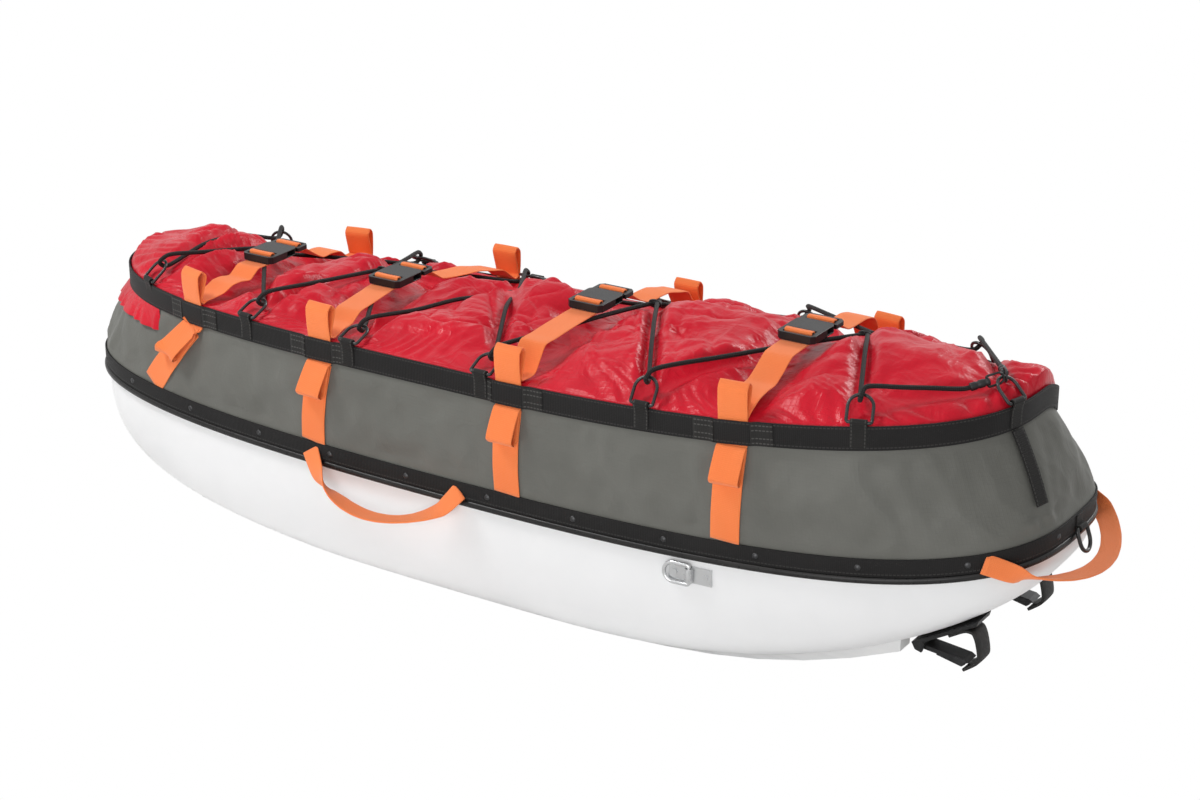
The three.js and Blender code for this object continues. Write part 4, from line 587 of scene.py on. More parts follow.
def hullRing(angles, steep, inset):
    share = np.cos(steep) ** (2 / hullSettings["sideShare"])
    deep = np.sin(steep) ** (2 / hullSettings["bilgeShare"])
    edgeX, _ = planPoint(rimPlan, angles, 0)
    x, y = planPoint(rimPlan, angles, level["inner"] + inset, share)
    return np.stack([x, y, rimHeight(edgeX) * (1 - deep) + (bottomHeight(x) + inset) * deep], -1)


def makeHull():
    wall, lip, crest = (hullSettings[key] for key in ("wall", "lip", "crest"))
    angles = evenAngles(rimPlan, hullSettings["around"])
    steeps = np.radians(np.concatenate([np.linspace(*span) for span in hullSettings["steeps"]]))
    rings = [hullRing(angles, steep, 0) for steep in steeps]
    edgeX, _ = planPoint(rimPlan, angles, 0)
    for inset, drop in ((0, lip), (wall * 0.3, crest), (wall * 0.7, crest), (wall, lip)):
        x, y = planPoint(rimPlan, angles, level["inner"] + inset)
        rings.append(np.stack([x, y, rimHeight(edgeX) + hullSettings["flange"] - drop], -1))
    rings = np.stack(rings + [hullRing(angles, steep, wall) for steep in steeps[::-2]])
    rows, columns = rings.shape[:2]
    v = np.concatenate([[0], np.cumsum(np.linalg.norm(np.diff(rings[:, columns // 4], axis=0), axis=1))])
    points, faces = gridPart(rings, np.linspace(0, 3600, columns), v[:, None], wrapColumns=True)
    for index in capFaces(columns, 0, True) + capFaces(columns, (rows - 1) * columns):
        faces.append((index, points[index][..., :2] * 0.001))
    return points, faces


piece("hull_shell", makeHull(), hullPlastic, slot="hull", replaces=["hull"])
print("hull made")


# Band round a plan: a closed section of (outward, upward) lengths is carried round the outline along its outward
# direction, at the height that a function gives for each edge point. bulge is a function of x that adds to the
# outward length.
def bandPart(plan, height, section, around=900, bulge=None):
    angles = evenAngles(plan, around)
    edgeX, edgeY = planPoint(plan, angles, 0)
    outX, outY = outward(plan, angles)
    section = np.asarray(section, dtype=float)
    away = section[:, :1] + (bulge(edgeX) if bulge else np.zeros(around))
    z = height(edgeX, edgeY) + section[:, 1:]
    points = np.stack([edgeX + outX * away, edgeY + outY * away, z], -1)
    v = section[:, 1:] - section[:, 1].min()
    return gridPart(points, runOf(edgeX, edgeY), v, wrapRows=True, wrapColumns=True)


# Section of a flat band: four corners, each a quarter circle of the radius round
def flatSection(low, high, inner, outer, round=0.8):
    corners = [(outer - round, high - round), (inner + round, high - round), (inner + round, low + round),
               (outer - round, low + round)]
    turns = [(a, b, t + q * math.pi / 2) for q, (a, b) in enumerate(corners) for t in np.linspace(0, math.pi / 2, 4)]
    return [(a + round * math.cos(t), b + round * math.sin(t)) for a, b, t in turns]


trimSection = [(2.0, 0.6), (2.3, 2.0), (2.35, 4), (2.1, 6), (1.2, 7.4), (0, 7.9), (-2, 8), (-3.7, 7.6), (-3.7, 0.4),
               (-2, 0), (0, 0), (1.2, 0.1)]
rimBandSettings = dict(low=8.3, high=31, inner=-2, outer=0.1, round=0.7)
rivetSettings = dict(up=19.6, radius=4.2, height=1.7, sides=16, rings=6, centre=0.12, root=1.0)
piece("rim_lip", bandPart(rimPlan, rimHeight, trimSection), trimRubber, slot="trim", replaces=["rim_trim"])
piece("rim_webbing", bandPart(rimPlan, rimHeight, flatSection(**rimBandSettings)), bandWebbing, slot="webbing",
      replaces=["rim_band"])

# Rivets' places: x, y and the outward direction
rivetTable = [
    (715.6, 63.7, 0.978, 0.209), (640.4, 156.6, 0.488, 0.873), (522.2, 198.2, 0.219, 0.976),
    (396.1, 217.9, 0.104, 0.995), (272.6, 226.9, 0.045, 0.999), (145.3, 230.3, 0.013, 1),
    (15.6, 231, 0, 1), (-109.6, 230.8, -0.006, 1), (-235.1, 228.9, -0.026, 1),
    (-361.4, 223.6, -0.061, 0.998), (-483.5, 212.7, -0.123, 0.992), (-607, 189.1, -0.281, 0.96),
    (-709.5, 119.3, -0.917, 0.398), (-720, -12.5, -1, -0), (-705, -128.2, -0.865, -0.502),
    (-600.9, -190.9, -0.268, -0.963), (-475.9, -213.7, -0.118, -0.993),
    (-347.7, -224.4, -0.056, -0.998), (-224.9, -229.2, -0.024, -1), (-100.2, -230.8, -0.005, -1),
    (26.8, -231, 0.001, -1), (154.6, -230.2, 0.014, -1), (282.6, -226.4, 0.049, -0.999),
    (403.9, -217.1, 0.109, -0.994), (528.9, -196.6, 0.228, -0.974), (648, -152.2, 0.52, -0.854),
    (717.6, -52.6, 0.99, -0.141)]


# Dome: a low cap turned about its own axis, the height falling as the square of the radius, with a root sunk behind
def rivetPart(x, y, outX, outY):
    origin = np.array([x, y, float(rimHeight(np.array(float(x)))) + rivetSettings["up"]])
    out = np.array([outX, outY, 0.0])
    side = np.cross([0, 0, 1.0], out)
    up = np.cross(out, side)
    sides, radius = rivetSettings["sides"], rivetSettings["radius"]
    r = np.linspace(1, rivetSettings["centre"], rivetSettings["rings"])[:, None]
    a = (np.arange(sides) * 2 * math.pi / sides)[None]
    points = origin + (r * radius * np.cos(a))[..., None] * side + (r * radius * np.sin(a))[..., None] * up
    points = points + (rivetSettings["height"] * (1 - r ** 2) * np.ones_like(a))[..., None] * out
    points = np.concatenate([points[:1] - rivetSettings["root"] * out, points])
    part, faces = gridPart(points, 0.0, 0.0, wrapColumns=True)
    caps = capFaces(sides, rivetSettings["rings"] * sides)
    return part, faces + [(index, np.zeros(index.shape + (2,))) for index in caps]


piece("rim_rivets", [rivetPart(*entry) for entry in rivetTable], rivetMetal, slot="steel", replaces=["rim_band"])
print("rim made")


# The front strip hangs from the front ring's tab, so its angle is the one at which the top outline has the tab's y
stripSettings = dict(tabSide=-66, low=0.3, rows=14, width=20, thickness=1.6, away=3.4, step=0.002, quiet=8)
stripAngles = np.linspace(-1.4, 0, 2001)
frontStripAngle = np.interp(stripSettings["tabSide"], planPoint(topPlan, stripAngles, 0)[1], stripAngles)

# Skirt: depths of its folds in millimetres. Three numbers are the middle's, what the front adds and the rear adds.
skirtSettings = dict(around=900, rows=56, belly=6, low=-0.14, high=1.14, longSoft=1.5, shortSoft=0.8, softDepth=1.3,
                     pleatStep=46, pleatDepth=(0.8, 2.2, 1.6), fanDepth=(4.5, 6.0, 4.0), drawnIn=1.2, pressed=0.5)


# Sheet between the rim band and the top band: a straight mix of the two outlines, plus a belly that is 4 times the
# share times 1 minus the share, along the rim's outward direction
def skirtPoint(angles, share, inset):
    edgeX, _ = planPoint(rimPlan, angles, 0)
    topX, topY = planPoint(topPlan, angles, 0)
    lowX, lowY = planPoint(rimPlan, angles, inset)
    highX, highY = planPoint(topPlan, angles, inset)
    outX, outY = outward(rimPlan, angles)
    t = np.clip(share, 0, 1)
    belly = skirtSettings["belly"] * 4 * t * (1 - t)
    foot = rimHeight(edgeX) + level["rimBand"]
    z = foot + (bandHeight(topX, topY) - foot) * share
    return lowX + (highX - lowX) * t + outX * belly, lowY + (highY - lowY) * t + outY * belly, z


# The sheet with its folds pushed outwards: soft waves, pleats that are bent sines, and fans of creases. They fade at
# both bands and beside the straps and the front strip.
def makeSkirt():
    angles = evenAngles(rimPlan, skirtSettings["around"])[None]
    share = np.linspace(skirtSettings["low"], skirtSettings["high"], skirtSettings["rows"])[:, None]
    x, y, z = skirtPoint(np.repeat(angles, len(share), 0), np.repeat(share, angles.shape[1], 1), level["skirtInset"])
    outX, outY = outward(rimPlan, angles[0])
    run = runOf(x[20], y[20])
    runs = np.repeat(run[None], len(share), 0)
    ends = np.stack([np.ones_like(x), smoothStep(x, 260, 640), smoothStep(-x, 430, 690)], -1)
    soft = skirtSettings["longSoft"] * waves(runs, z * 1.6, 11, 6, 90, 260)
    soft = soft + skirtSettings["shortSoft"] * waves(runs, z, 12, 6, 40, 90)
    pleats = np.sin(runs * 2 * math.pi / skirtSettings["pleatStep"] + 2.2 * waves(runs, z, 13, 4, 110, 260))
    pleats = pleats * smoothStep(waves(runs, z * 0.3, 14, 4, 120, 260), -0.2, 0.8)
    pleats = pleats * (ends @ skirtSettings["pleatDepth"])
    fans = creases(runs, z, 15, 9, 60, 160, 1.15, 0.7) * (ends @ skirtSettings["fanDepth"])
    away = skirtSettings["softDepth"] * soft + pleats + fans - skirtSettings["drawnIn"]
    away = away * smoothStep(share, 0.0, 0.16) * smoothStep(-share, -1.0, -0.86)
    beside = np.full(x.shape, 1e9)
    for rimPlace, bandPlace, _ in strapPlaces:
        beside = np.minimum(beside, np.abs(x - (rimPlace + (bandPlace - rimPlace) * share)))
    fromStrip = np.abs(runs - np.interp(frontStripAngle, angles[0], run)) + stripSettings["quiet"]
    beside = np.minimum(beside, np.where(share > 0.2, fromStrip, 1e9))
    away = away * smoothStep(beside, 17, 48) - skirtSettings["pressed"] * smoothStep(-beside, -30, -18)
    points = np.stack([x + outX * away, y + outY * away, z], -1)
    return gridPart(points, runs, z - z.min(), wrapColumns=True)


skirt = piece("bag_skirt", makeSkirt(), greyNylon, slot="grey_nylon", replaces=["skirt"])
print("skirt made")

# Straps: each point of a line is x, y, z and the direction across, from the rim over the top band to the buckle
strapLines = {
    "near_1": [
        (-554.2, -199.1, 228.3, 0.981, -0.194, 0), (-531.8, -201.7, 257.3, 0.978, -0.209, 0),
        (-503.1, -200.4, 293.1, 0.974, -0.227, 0), (-476.6, -196.9, 325.6, 0.97, -0.244, 0),
        (-478, -199.1, 324.5, 0.97, -0.243, 0), (-491.9, -201.7, 307.8, 0.972, -0.235, 0),
        (-508, -203.4, 287.8, 0.974, -0.225, 0), (-515.2, -210.5, 280.8, 0.975, -0.221, 0),
        (-511.2, -217, 287.8, 0.974, -0.225, 0), (-478.8, -202.1, 324.5, 0.97, -0.243, 0),
        (-474.1, -197.5, 327.8, 0.969, -0.246, 0), (-474.1, -197.5, 359.6, 0.969, -0.246, 0),
        (-474.6, -199.7, 379, 0.969, -0.246, 0), (-474.6, -199.7, 399, 0.969, -0.246, 0),
        (-472.9, -192.9, 406, 0.969, -0.246, 0), (-471.2, -186.1, 399, 0.969, -0.246, 0),
        (-473.6, -195.4, 364.5, 0.969, -0.246, 0), (-474, -188.3, 363.2, 0.969, -0.246, 0),
        (-473.6, -171, 363.2, 0.984, -0.176, 0), (-473.2, -153.6, 364.3, 0.994, -0.106, 0),
        (-472.7, -136.3, 370.5, 0.999, -0.035, 0), (-472.3, -119, 370.5, 1, 0, 0),
        (-471.9, -101.7, 367.6, 1, 0, 0), (-471.5, -84.3, 379, 1, 0, 0), (-471, -68.6, 378.9, 1, 0, 0),
        (-471, -57.4, 378.9, 1, 0, 0), (-471, -57.4, 391.7, 1, 0, 0), (-471, -50.6, 391.7, 1, 0, 0),
        (-471, -50.6, 378.9, 1, 0, 0)],
    "far_1": [
        (-553.4, 198.9, 228.3, 0.981, 0.194, 0), (-531.7, 192.9, 245.3, 0.98, 0.199, 0),
        (-503, 181.7, 267.1, 0.979, 0.205, 0), (-478.5, 170.5, 285.6, 0.978, 0.211, 0),
        (-480.4, 173.3, 284.5, 0.978, 0.211, 0), (-502.8, 184.3, 267.8, 0.979, 0.206, 0),
        (-528.9, 194.3, 247.8, 0.98, 0.2, 0), (-539.3, 203.9, 240.8, 0.98, 0.198, 0),
        (-531.7, 208, 247.8, 0.98, 0.2, 0), (-481, 176.3, 284.5, 0.978, 0.211, 0),
        (-474.6, 171.5, 287.8, 0.977, 0.212, 0), (-474.6, 171.5, 319.6, 0.977, 0.212, 0),
        (-475.1, 173.7, 339, 0.977, 0.212, 0), (-475.1, 173.7, 359, 0.977, 0.212, 0),
        (-473.6, 166.8, 366, 0.977, 0.212, 0), (-472.1, 160, 359, 0.977, 0.212, 0),
        (-474.1, 169.4, 324.5, 0.977, 0.212, 0), (-474, 159.9, 323.7, 0.977, 0.212, 0),
        (-473.6, 139.5, 323.7, 0.988, 0.152, 0), (-473.2, 119.1, 333.1, 0.996, 0.091, 0),
        (-472.7, 98.6, 352.1, 1, 0.03, 0), (-472.3, 78.2, 355.6, 1, 0, 0), (-471.9, 57.8, 355.6, 1, 0, 0),
        (-471.5, 37.4, 367, 1, 0, 0), (-471, 18.6, 378.9, 1, 0, 0), (-471, 7.4, 378.9, 1, 0, 0),
        (-471, 7.4, 389.7, 1, 0, 0), (-471, 0.6, 389.7, 1, 0, 0), (-471, 0.6, 378.9, 1, 0, 0)],
    "near_2": [
        (-251.8, -227.6, 218.4, 1, -0.03, 0), (-246.2, -233.3, 253.3, 0.999, -0.038, 0),
        (-239.2, -234.7, 295, 0.999, -0.048, 0), (-232.6, -230.8, 333.3, 0.998, -0.058, 0),
        (-232.9, -233.1, 332.2, 0.998, -0.058, 0), (-235.8, -235.7, 315.5, 0.999, -0.053, 0),
        (-239.3, -237.3, 295.5, 0.999, -0.049, 0), (-240.8, -244.1, 288.5, 0.999, -0.047, 0),
        (-240, -251.3, 295.5, 0.999, -0.049, 0), (-233.1, -236.2, 332.2, 0.998, -0.058, 0),
        (-232, -230.9, 335.5, 0.998, -0.059, 0), (-232, -230.9, 367.3, 0.998, -0.059, 0),
        (-232.1, -233.1, 386.7, 0.998, -0.059, 0), (-232.1, -233.1, 406.7, 0.998, -0.059, 0),
        (-231.7, -226.1, 413.7, 0.998, -0.059, 0), (-231.3, -219.1, 406.7, 0.998, -0.059, 0),
        (-231.9, -228.7, 372.2, 0.998, -0.059, 0), (-232, -222.4, 368.7, 0.998, -0.059, 0),
        (-235.2, -200.2, 372.4, 0.999, -0.042, 0), (-238.3, -178, 372.6, 1, -0.025, 0),
        (-241.4, -155.8, 382.2, 1, -0.008, 0), (-244.6, -133.6, 382.8, 1, 0, 0),
        (-247.7, -111.4, 383.4, 1, 0, 0), (-250.9, -89.2, 383.8, 1, 0, 0), (-254, -68.6, 384.2, 1, 0, 0),
        (-254, -57.4, 384.2, 1, 0, 0), (-254, -57.4, 397, 1, 0, 0), (-254, -50.6, 397, 1, 0, 0),
        (-254, -50.6, 384.2, 1, 0, 0)],
    "far_2": [
        (-251.8, 227.2, 218.4, 1, 0.03, 0), (-246.2, 223.2, 241.3, 0.999, 0.036, 0),
        (-239.2, 213, 269, 0.999, 0.043, 0), (-232.9, 199.1, 293.3, 0.999, 0.049, 0),
        (-233.3, 201.9, 292.2, 0.999, 0.049, 0), (-237.7, 212.4, 275.5, 0.999, 0.045, 0),
        (-242.7, 220.6, 255.5, 0.999, 0.039, 0), (-244.7, 230.2, 248.5, 0.999, 0.038, 0),
        (-243.2, 234.6, 255.5, 0.999, 0.039, 0), (-233.4, 205, 292.2, 0.999, 0.049, 0),
        (-232.1, 199.2, 295.5, 0.999, 0.05, 0), (-232.1, 199.2, 327.3, 0.999, 0.05, 0),
        (-232.2, 201.4, 346.7, 0.999, 0.05, 0), (-232.2, 201.4, 366.7, 0.999, 0.05, 0),
        (-231.8, 194.4, 373.7, 0.999, 0.05, 0), (-231.5, 187.4, 366.7, 0.999, 0.05, 0),
        (-232, 197, 332.2, 0.999, 0.05, 0), (-232, 189, 328.9, 0.999, 0.05, 0),
        (-235.2, 164.5, 347.6, 0.999, 0.036, 0), (-238.3, 139.9, 353.8, 1, 0.022, 0),
        (-241.4, 115.3, 360.1, 1, 0.007, 0), (-244.6, 90.7, 362.3, 1, 0, 0), (-247.7, 66.2, 365.1, 1, 0, 0),
        (-250.9, 41.6, 369.2, 1, 0, 0), (-254, 18.6, 384.2, 1, 0, 0), (-254, 7.4, 384.2, 1, 0, 0),
        (-254, 7.4, 395, 1, 0, 0), (-254, 0.6, 395, 1, 0, 0), (-254, 0.6, 384.2, 1, 0, 0)],
    "near_3": [
        (57.1, -230.2, 217, 1, 0.002, 0), (59.4, -236.6, 253.2, 1, 0.002, 0),
        (62.2, -238.8, 296.4, 1, 0.002, 0), (64.8, -235.3, 336.2, 1, 0.003, 0),
        (64.7, -237.6, 335.1, 1, 0.003, 0), (63.6, -239.9, 318.4, 1, 0.003, 0),
        (62.3, -241.2, 298.4, 1, 0.002, 0), (61.9, -248.1, 291.4, 1, 0.002, 0),
        (62.4, -255.2, 298.4, 1, 0.002, 0), (64.7, -240.7, 335.1, 1, 0.003, 0),
        (65, -235.4, 338.4, 1, 0.003, 0), (65, -235.4, 370.2, 1, 0.003, 0), (65, -237.6, 389.6, 1, 0.003, 0),
        (65, -237.6, 409.6, 1, 0.003, 0), (65, -230.6, 416.6, 1, 0.003, 0), (64.9, -223.6, 409.6, 1, 0.003, 0),
        (65, -233.2, 375.1, 1, 0.003, 0), (65, -226.9, 374.1, 1, 0.003, 0), (65.1, -204.1, 374.6, 1, 0.002, 0),
        (65.3, -181.2, 405, 1, 0.001, 0), (65.4, -158.4, 406.1, 1, 0, 0), (65.6, -135.5, 408, 1, 0, 0),
        (65.7, -112.7, 409.4, 1, 0, 0), (65.9, -89.8, 410.5, 1, 0, 0), (66, -68.6, 411.2, 1, 0, 0),
        (66, -57.4, 411.2, 1, 0, 0), (66, -57.4, 424, 1, 0, 0), (66, -50.6, 424, 1, 0, 0),
        (66, -50.6, 411.2, 1, 0, 0)],
    "far_3": [
        (57.1, 229.9, 217, 1, -0.002, 0), (59.4, 226.4, 241.2, 1, -0.002, 0),
        (62.2, 216.7, 270.4, 1, -0.002, 0), (64.7, 203, 296.2, 1, -0.002, 0),
        (64.6, 205.8, 295.1, 1, -0.002, 0), (63, 215.6, 278.4, 1, -0.002, 0),
        (61.1, 223.4, 258.4, 1, -0.002, 0), (60.4, 232.7, 251.4, 1, -0.002, 0),
        (61.1, 237.4, 258.4, 1, -0.002, 0), (64.6, 208.9, 295.1, 1, -0.002, 0),
        (65, 203.1, 298.4, 1, -0.002, 0), (65, 203.1, 330.2, 1, -0.002, 0), (65, 205.3, 349.6, 1, -0.002, 0),
        (65, 205.3, 369.6, 1, -0.002, 0), (65, 198.3, 376.6, 1, -0.002, 0), (65, 191.3, 369.6, 1, -0.002, 0),
        (65, 200.9, 335.1, 1, -0.002, 0), (65, 192.9, 333.6, 1, -0.002, 0), (65.1, 167.8, 371, 1, -0.002, 0),
        (65.3, 142.7, 378.1, 1, -0.001, 0), (65.4, 117.5, 385.2, 1, -0, 0), (65.6, 92.4, 386.8, 1, 0, 0),
        (65.7, 67.3, 386.8, 1, 0, 0), (65.9, 42.1, 397, 1, 0, 0), (66, 18.6, 411.2, 1, 0, 0),
        (66, 7.4, 411.2, 1, 0, 0), (66, 7.4, 422, 1, 0, 0), (66, 0.6, 422, 1, 0, 0), (66, 0.6, 411.2, 1, 0, 0)],
    "near_4": [
        (364, -220.1, 224.4, 0.996, 0.086, 0), (367.1, -225.5, 261.9, 0.995, 0.097, 0),
        (370.4, -226.6, 307.4, 0.994, 0.11, 0), (372.7, -222, 349.4, 0.993, 0.122, 0),
        (372.9, -224.3, 348.3, 0.993, 0.122, 0), (372.1, -227, 331.6, 0.993, 0.117, 0),
        (370.9, -228.8, 311.6, 0.994, 0.111, 0), (371.2, -236.1, 304.6, 0.994, 0.109, 0),
        (372.5, -242.7, 311.6, 0.994, 0.111, 0), (373.3, -227.3, 348.3, 0.993, 0.122, 0),
        (373, -222, 351.6, 0.992, 0.123, 0), (373, -222, 383.4, 0.992, 0.123, 0),
        (373.2, -224.1, 402.8, 0.992, 0.123, 0), (373.2, -224.1, 422.8, 0.992, 0.123, 0),
        (372.4, -217.2, 429.8, 0.992, 0.123, 0), (371.5, -210.2, 422.8, 0.992, 0.123, 0),
        (372.7, -219.8, 388.3, 0.992, 0.123, 0), (373, -213.5, 393.3, 0.992, 0.123, 0),
        (372.4, -192.6, 402.2, 0.996, 0.088, 0), (371.9, -171.6, 405.5, 0.999, 0.053, 0),
        (371.3, -150.7, 406.3, 1, 0.018, 0), (370.7, -129.8, 416, 1, 0, 0), (370.2, -108.9, 427.7, 1, 0, 0),
        (369.6, -87.9, 428.8, 1, 0, 0), (369, -68.6, 429, 1, 0, 0), (369, -57.4, 429, 1, 0, 0),
        (369, -57.4, 441.8, 1, 0, 0), (369, -50.6, 441.8, 1, 0, 0), (369, -50.6, 429, 1, 0, 0)],
    "far_4": [
        (364.1, 219.9, 224.4, 0.996, -0.086, 0), (367.1, 216, 249.9, 0.996, -0.092, 0),
        (370.3, 205.9, 281.4, 0.995, -0.098, 0), (372.7, 191.9, 309.4, 0.995, -0.105, 0),
        (372.8, 194.6, 308.3, 0.995, -0.104, 0), (371.5, 204, 291.6, 0.995, -0.101, 0),
        (369.6, 211.7, 271.6, 0.995, -0.096, 0), (369.5, 221, 264.6, 0.995, -0.095, 0),
        (370.9, 225.7, 271.6, 0.995, -0.096, 0), (373.2, 197.7, 308.3, 0.995, -0.104, 0),
        (373.2, 191.9, 311.6, 0.994, -0.105, 0), (373.2, 191.9, 343.4, 0.994, -0.105, 0),
        (373.4, 194.1, 362.8, 0.994, -0.105, 0), (373.4, 194.1, 382.8, 0.994, -0.105, 0),
        (372.7, 187.2, 389.8, 0.994, -0.105, 0), (371.9, 180.2, 382.8, 0.994, -0.105, 0),
        (372.9, 189.8, 348.3, 0.994, -0.105, 0), (373, 181.4, 356.1, 0.994, -0.105, 0),
        (372.4, 157.9, 364.1, 0.997, -0.075, 0), (371.9, 134.4, 367.6, 0.999, -0.045, 0),
        (371.3, 111, 410.3, 1, -0.015, 0), (370.7, 87.5, 416.5, 1, 0, 0), (370.2, 64, 416.4, 1, 0, 0),
        (369.6, 40.5, 417.2, 1, 0, 0), (369, 18.6, 429, 1, 0, 0), (369, 7.4, 429, 1, 0, 0),
        (369, 7.4, 439.8, 1, 0, 0), (369, 0.6, 439.8, 1, 0, 0), (369, 0.6, 429, 1, 0, 0)],
}

# Middle line of the lacing cord, from the near sleeve round the bag to the far sleeve
cordLine = np.array([
    (618.8, -82.2, 432.6), (606.2, -92.6, 427.8), (575.7, -117.4, 430.7), (545.3, -142.2, 433.5),
    (514.8, -167.1, 436.4), (515.7, -178.4, 426.9), (508.8, -167.1, 417.4), (482.5, -108.7, 428),
    (456.3, -50.4, 435.8), (430, 8, 426.9), (424, 17, 424.4), (418, 8, 425.2), (364, -64.8, 424.8),
    (310, -137.7, 421.5), (256, -210.5, 418.4), (253.5, -222.4, 408.9), (250, -210.5, 399.4),
    (210, -137.7, 414.3), (170, -64.8, 419.4), (130, 8, 410.9), (124, 17, 408.2), (118, 8, 408.7),
    (87.7, -62.5, 407.1), (57.3, -133, 402.3), (27, -203.5, 399.1), (24, -215.5, 389.6), (21, -203.5, 380.1),
    (-17.4, -133, 386.8), (-55.7, -62.5, 394.3), (-94, 8, 378.5), (-100, 17, 378.2), (-106, 8, 377.5),
    (-130.6, -61.1, 389.6), (-155.1, -130.2, 388.8), (-179.7, -199.4, 394.5), (-183.1, -211.3, 385),
    (-185.7, -199.4, 375.5), (-226.5, -130.2, 378.2), (-267.2, -61.1, 380.1), (-308, 8, 373.7),
    (-314, 17, 373.5), (-320, 8, 374.3), (-332.1, -56.5, 380.5), (-344.2, -121.1, 386.7),
    (-356.3, -185.6, 392.8), (-361, -197.4, 383.3), (-362.3, -185.6, 373.8), (-413.9, -121.1, 375.1),
    (-465.4, -56.5, 374.7), (-517, 8, 369.3), (-523, 17, 367.3), (-529, 8, 369.6), (-544.2, -38.1, 377),
    (-559.4, -84.3, 383.6), (-574.5, -130.4, 390.7), (-582.6, -141.3, 381.2), (-580.5, -130.4, 371.6),
    (-583.2, -45.9, 381.9), (-585.9, 38.7, 371.6), (-588.5, 123.2, 342), (-590, 134.3, 351.5),
    (-582.5, 123.2, 361.1), (-564.7, 96.1, 359.5), (-546.8, 69.1, 357.9), (-529, 42, 356.3), (-523, 33, 359.9),
    (-517, 42, 354.3), (-465.7, 79.5, 347.7), (-414.4, 117, 341.1), (-363, 154.5, 334.5), (-361.5, 166.4, 344),
    (-357, 154.5, 353.5), (-344.7, 117, 358.7), (-332.3, 79.5, 363.8), (-320, 42, 369), (-314, 33, 370.8),
    (-308, 42, 369.2), (-267.3, 83.4, 358.3), (-226.6, 124.8, 347.4), (-185.9, 166.1, 336.5),
    (-183.3, 178.1, 346), (-179.9, 166.1, 355.5), (-155.3, 124.8, 362.6), (-130.6, 83.4, 370.6),
    (-106, 42, 376.8), (-100, 33, 377.9), (-94, 42, 377.1), (-55.7, 84.6, 368.9), (-17.4, 127.1, 352.7),
    (21, 169.7, 340.4), (24, 181.6, 350), (27, 169.7, 359.5), (57.3, 127.1, 371.2), (87.7, 84.6, 383),
    (118, 42, 394.8), (124, 33, 402.1), (130, 42, 398.6), (170.1, 88.4, 386.3), (210.2, 134.7, 374),
    (250.3, 181.1, 361.7), (253.8, 193, 371.2), (256.3, 181.1, 380.7), (310.2, 134.7, 393.2),
    (364.1, 88.4, 405.7), (418, 42, 418.2), (424, 33, 420.9), (430, 42, 419.6), (457.2, 76.2, 407.7),
    (484.3, 110.5, 393.9), (511.5, 144.7, 381), (517.9, 156.2, 390.5), (517.5, 144.7, 400),
    (551.3, 89.3, 411.5), (585.1, 33.9, 422.9), (618.9, -21.5, 434.4), (627.7, -36, 436.3)], dtype=float)

# Cover: depths in millimetres. ends gives how much deeper the gathers are at the rear and at the front.
coverSettings = dict(around=820, rings=118, inward=1.12, reach=0.985, shoulder=7, crown=44, dip=15, dipWidth=46,
                     tuck=8, pillow=9.0, slowPillow=5.0, valley=40, shallowValley=15, ridge=26, lift=3.0, small=0.35,
                     gatherStep=27, gather=6.0, ends=6.0, pull=4.5, pullStep=54, pressed=1.2)
crownTable = np.array([[-1, 0.1], [-0.86, 0.42], [-0.78, 0.34], [-0.64, -0.12], [-0.5, 0.12], [-0.34, -0.15],
                       [-0.12, 0.26], [0.1, 0.25],
                       [0.3, 0.85], [0.46, 0.82], [0.56, 0.72], [0.66, 0.86], [0.78, 0.55], [0.9, 0.28], [1, 0.32]])


# Height of the cover without its folds: the band's upper edge, plus a shoulder and a crown that fall with powers of
# the share of the half width, less a dip along each strap. The crown's share of its full height comes from the table.
def crownHeight(x, y):
    ahead = x > topPlan["middle"]
    u = np.clip(endShare(topPlan, x), -1, 1)
    length = np.where(ahead, topPlan["front"], topPlan["rear"]) - level["inner"]
    away = np.minimum(1, np.abs(x - topPlan["middle"]) / length)
    n = np.where(ahead, topPlan["frontShares"][0], topPlan["rearShares"][0])
    m = np.where(ahead, topPlan["frontShares"][1], topPlan["rearShares"][1])
    half = (np.where(y > 0, topPlan["farHalf"], topPlan["half"]) - level["inner"]) * (1 - away ** n) ** (1 / m)
    v = np.minimum(1, np.abs(y) / np.maximum(23.6, half))  # the tips keep some width
    dips = np.zeros_like(x)
    for _, band, top in strapPlaces:
        dips = np.maximum(dips, np.exp(-((x - (top + (band - top) * v)) / coverSettings["dipWidth"]) ** 2))
    crown = coverSettings["crown"] * np.interp(u, crownTable[:, 0], crownTable[:, 1]) * (1 - v ** 2.4)
    rise = coverSettings["shoulder"] * (1 - v ** 8) + crown - coverSettings["dip"] * dips * (1 - v ** 6)
    return bandHeight(x, y) + level["topBand"] + rise


# Shortest distance in plan from each point to a line's pieces
def distanceTo(line, x, y):
    best = np.full(x.shape, 1e9)
    for a, b in zip(line[:-1, :2], line[1:, :2]):
        d = b - a
        t = np.clip(((x - a[0]) * d[0] + (y - a[1]) * d[1]) / max(1e-6, d @ d), 0, 1)
        best = np.minimum(best, np.hypot(x - a[0] - t * d[0], y - a[1] - t * d[1]))
    return best


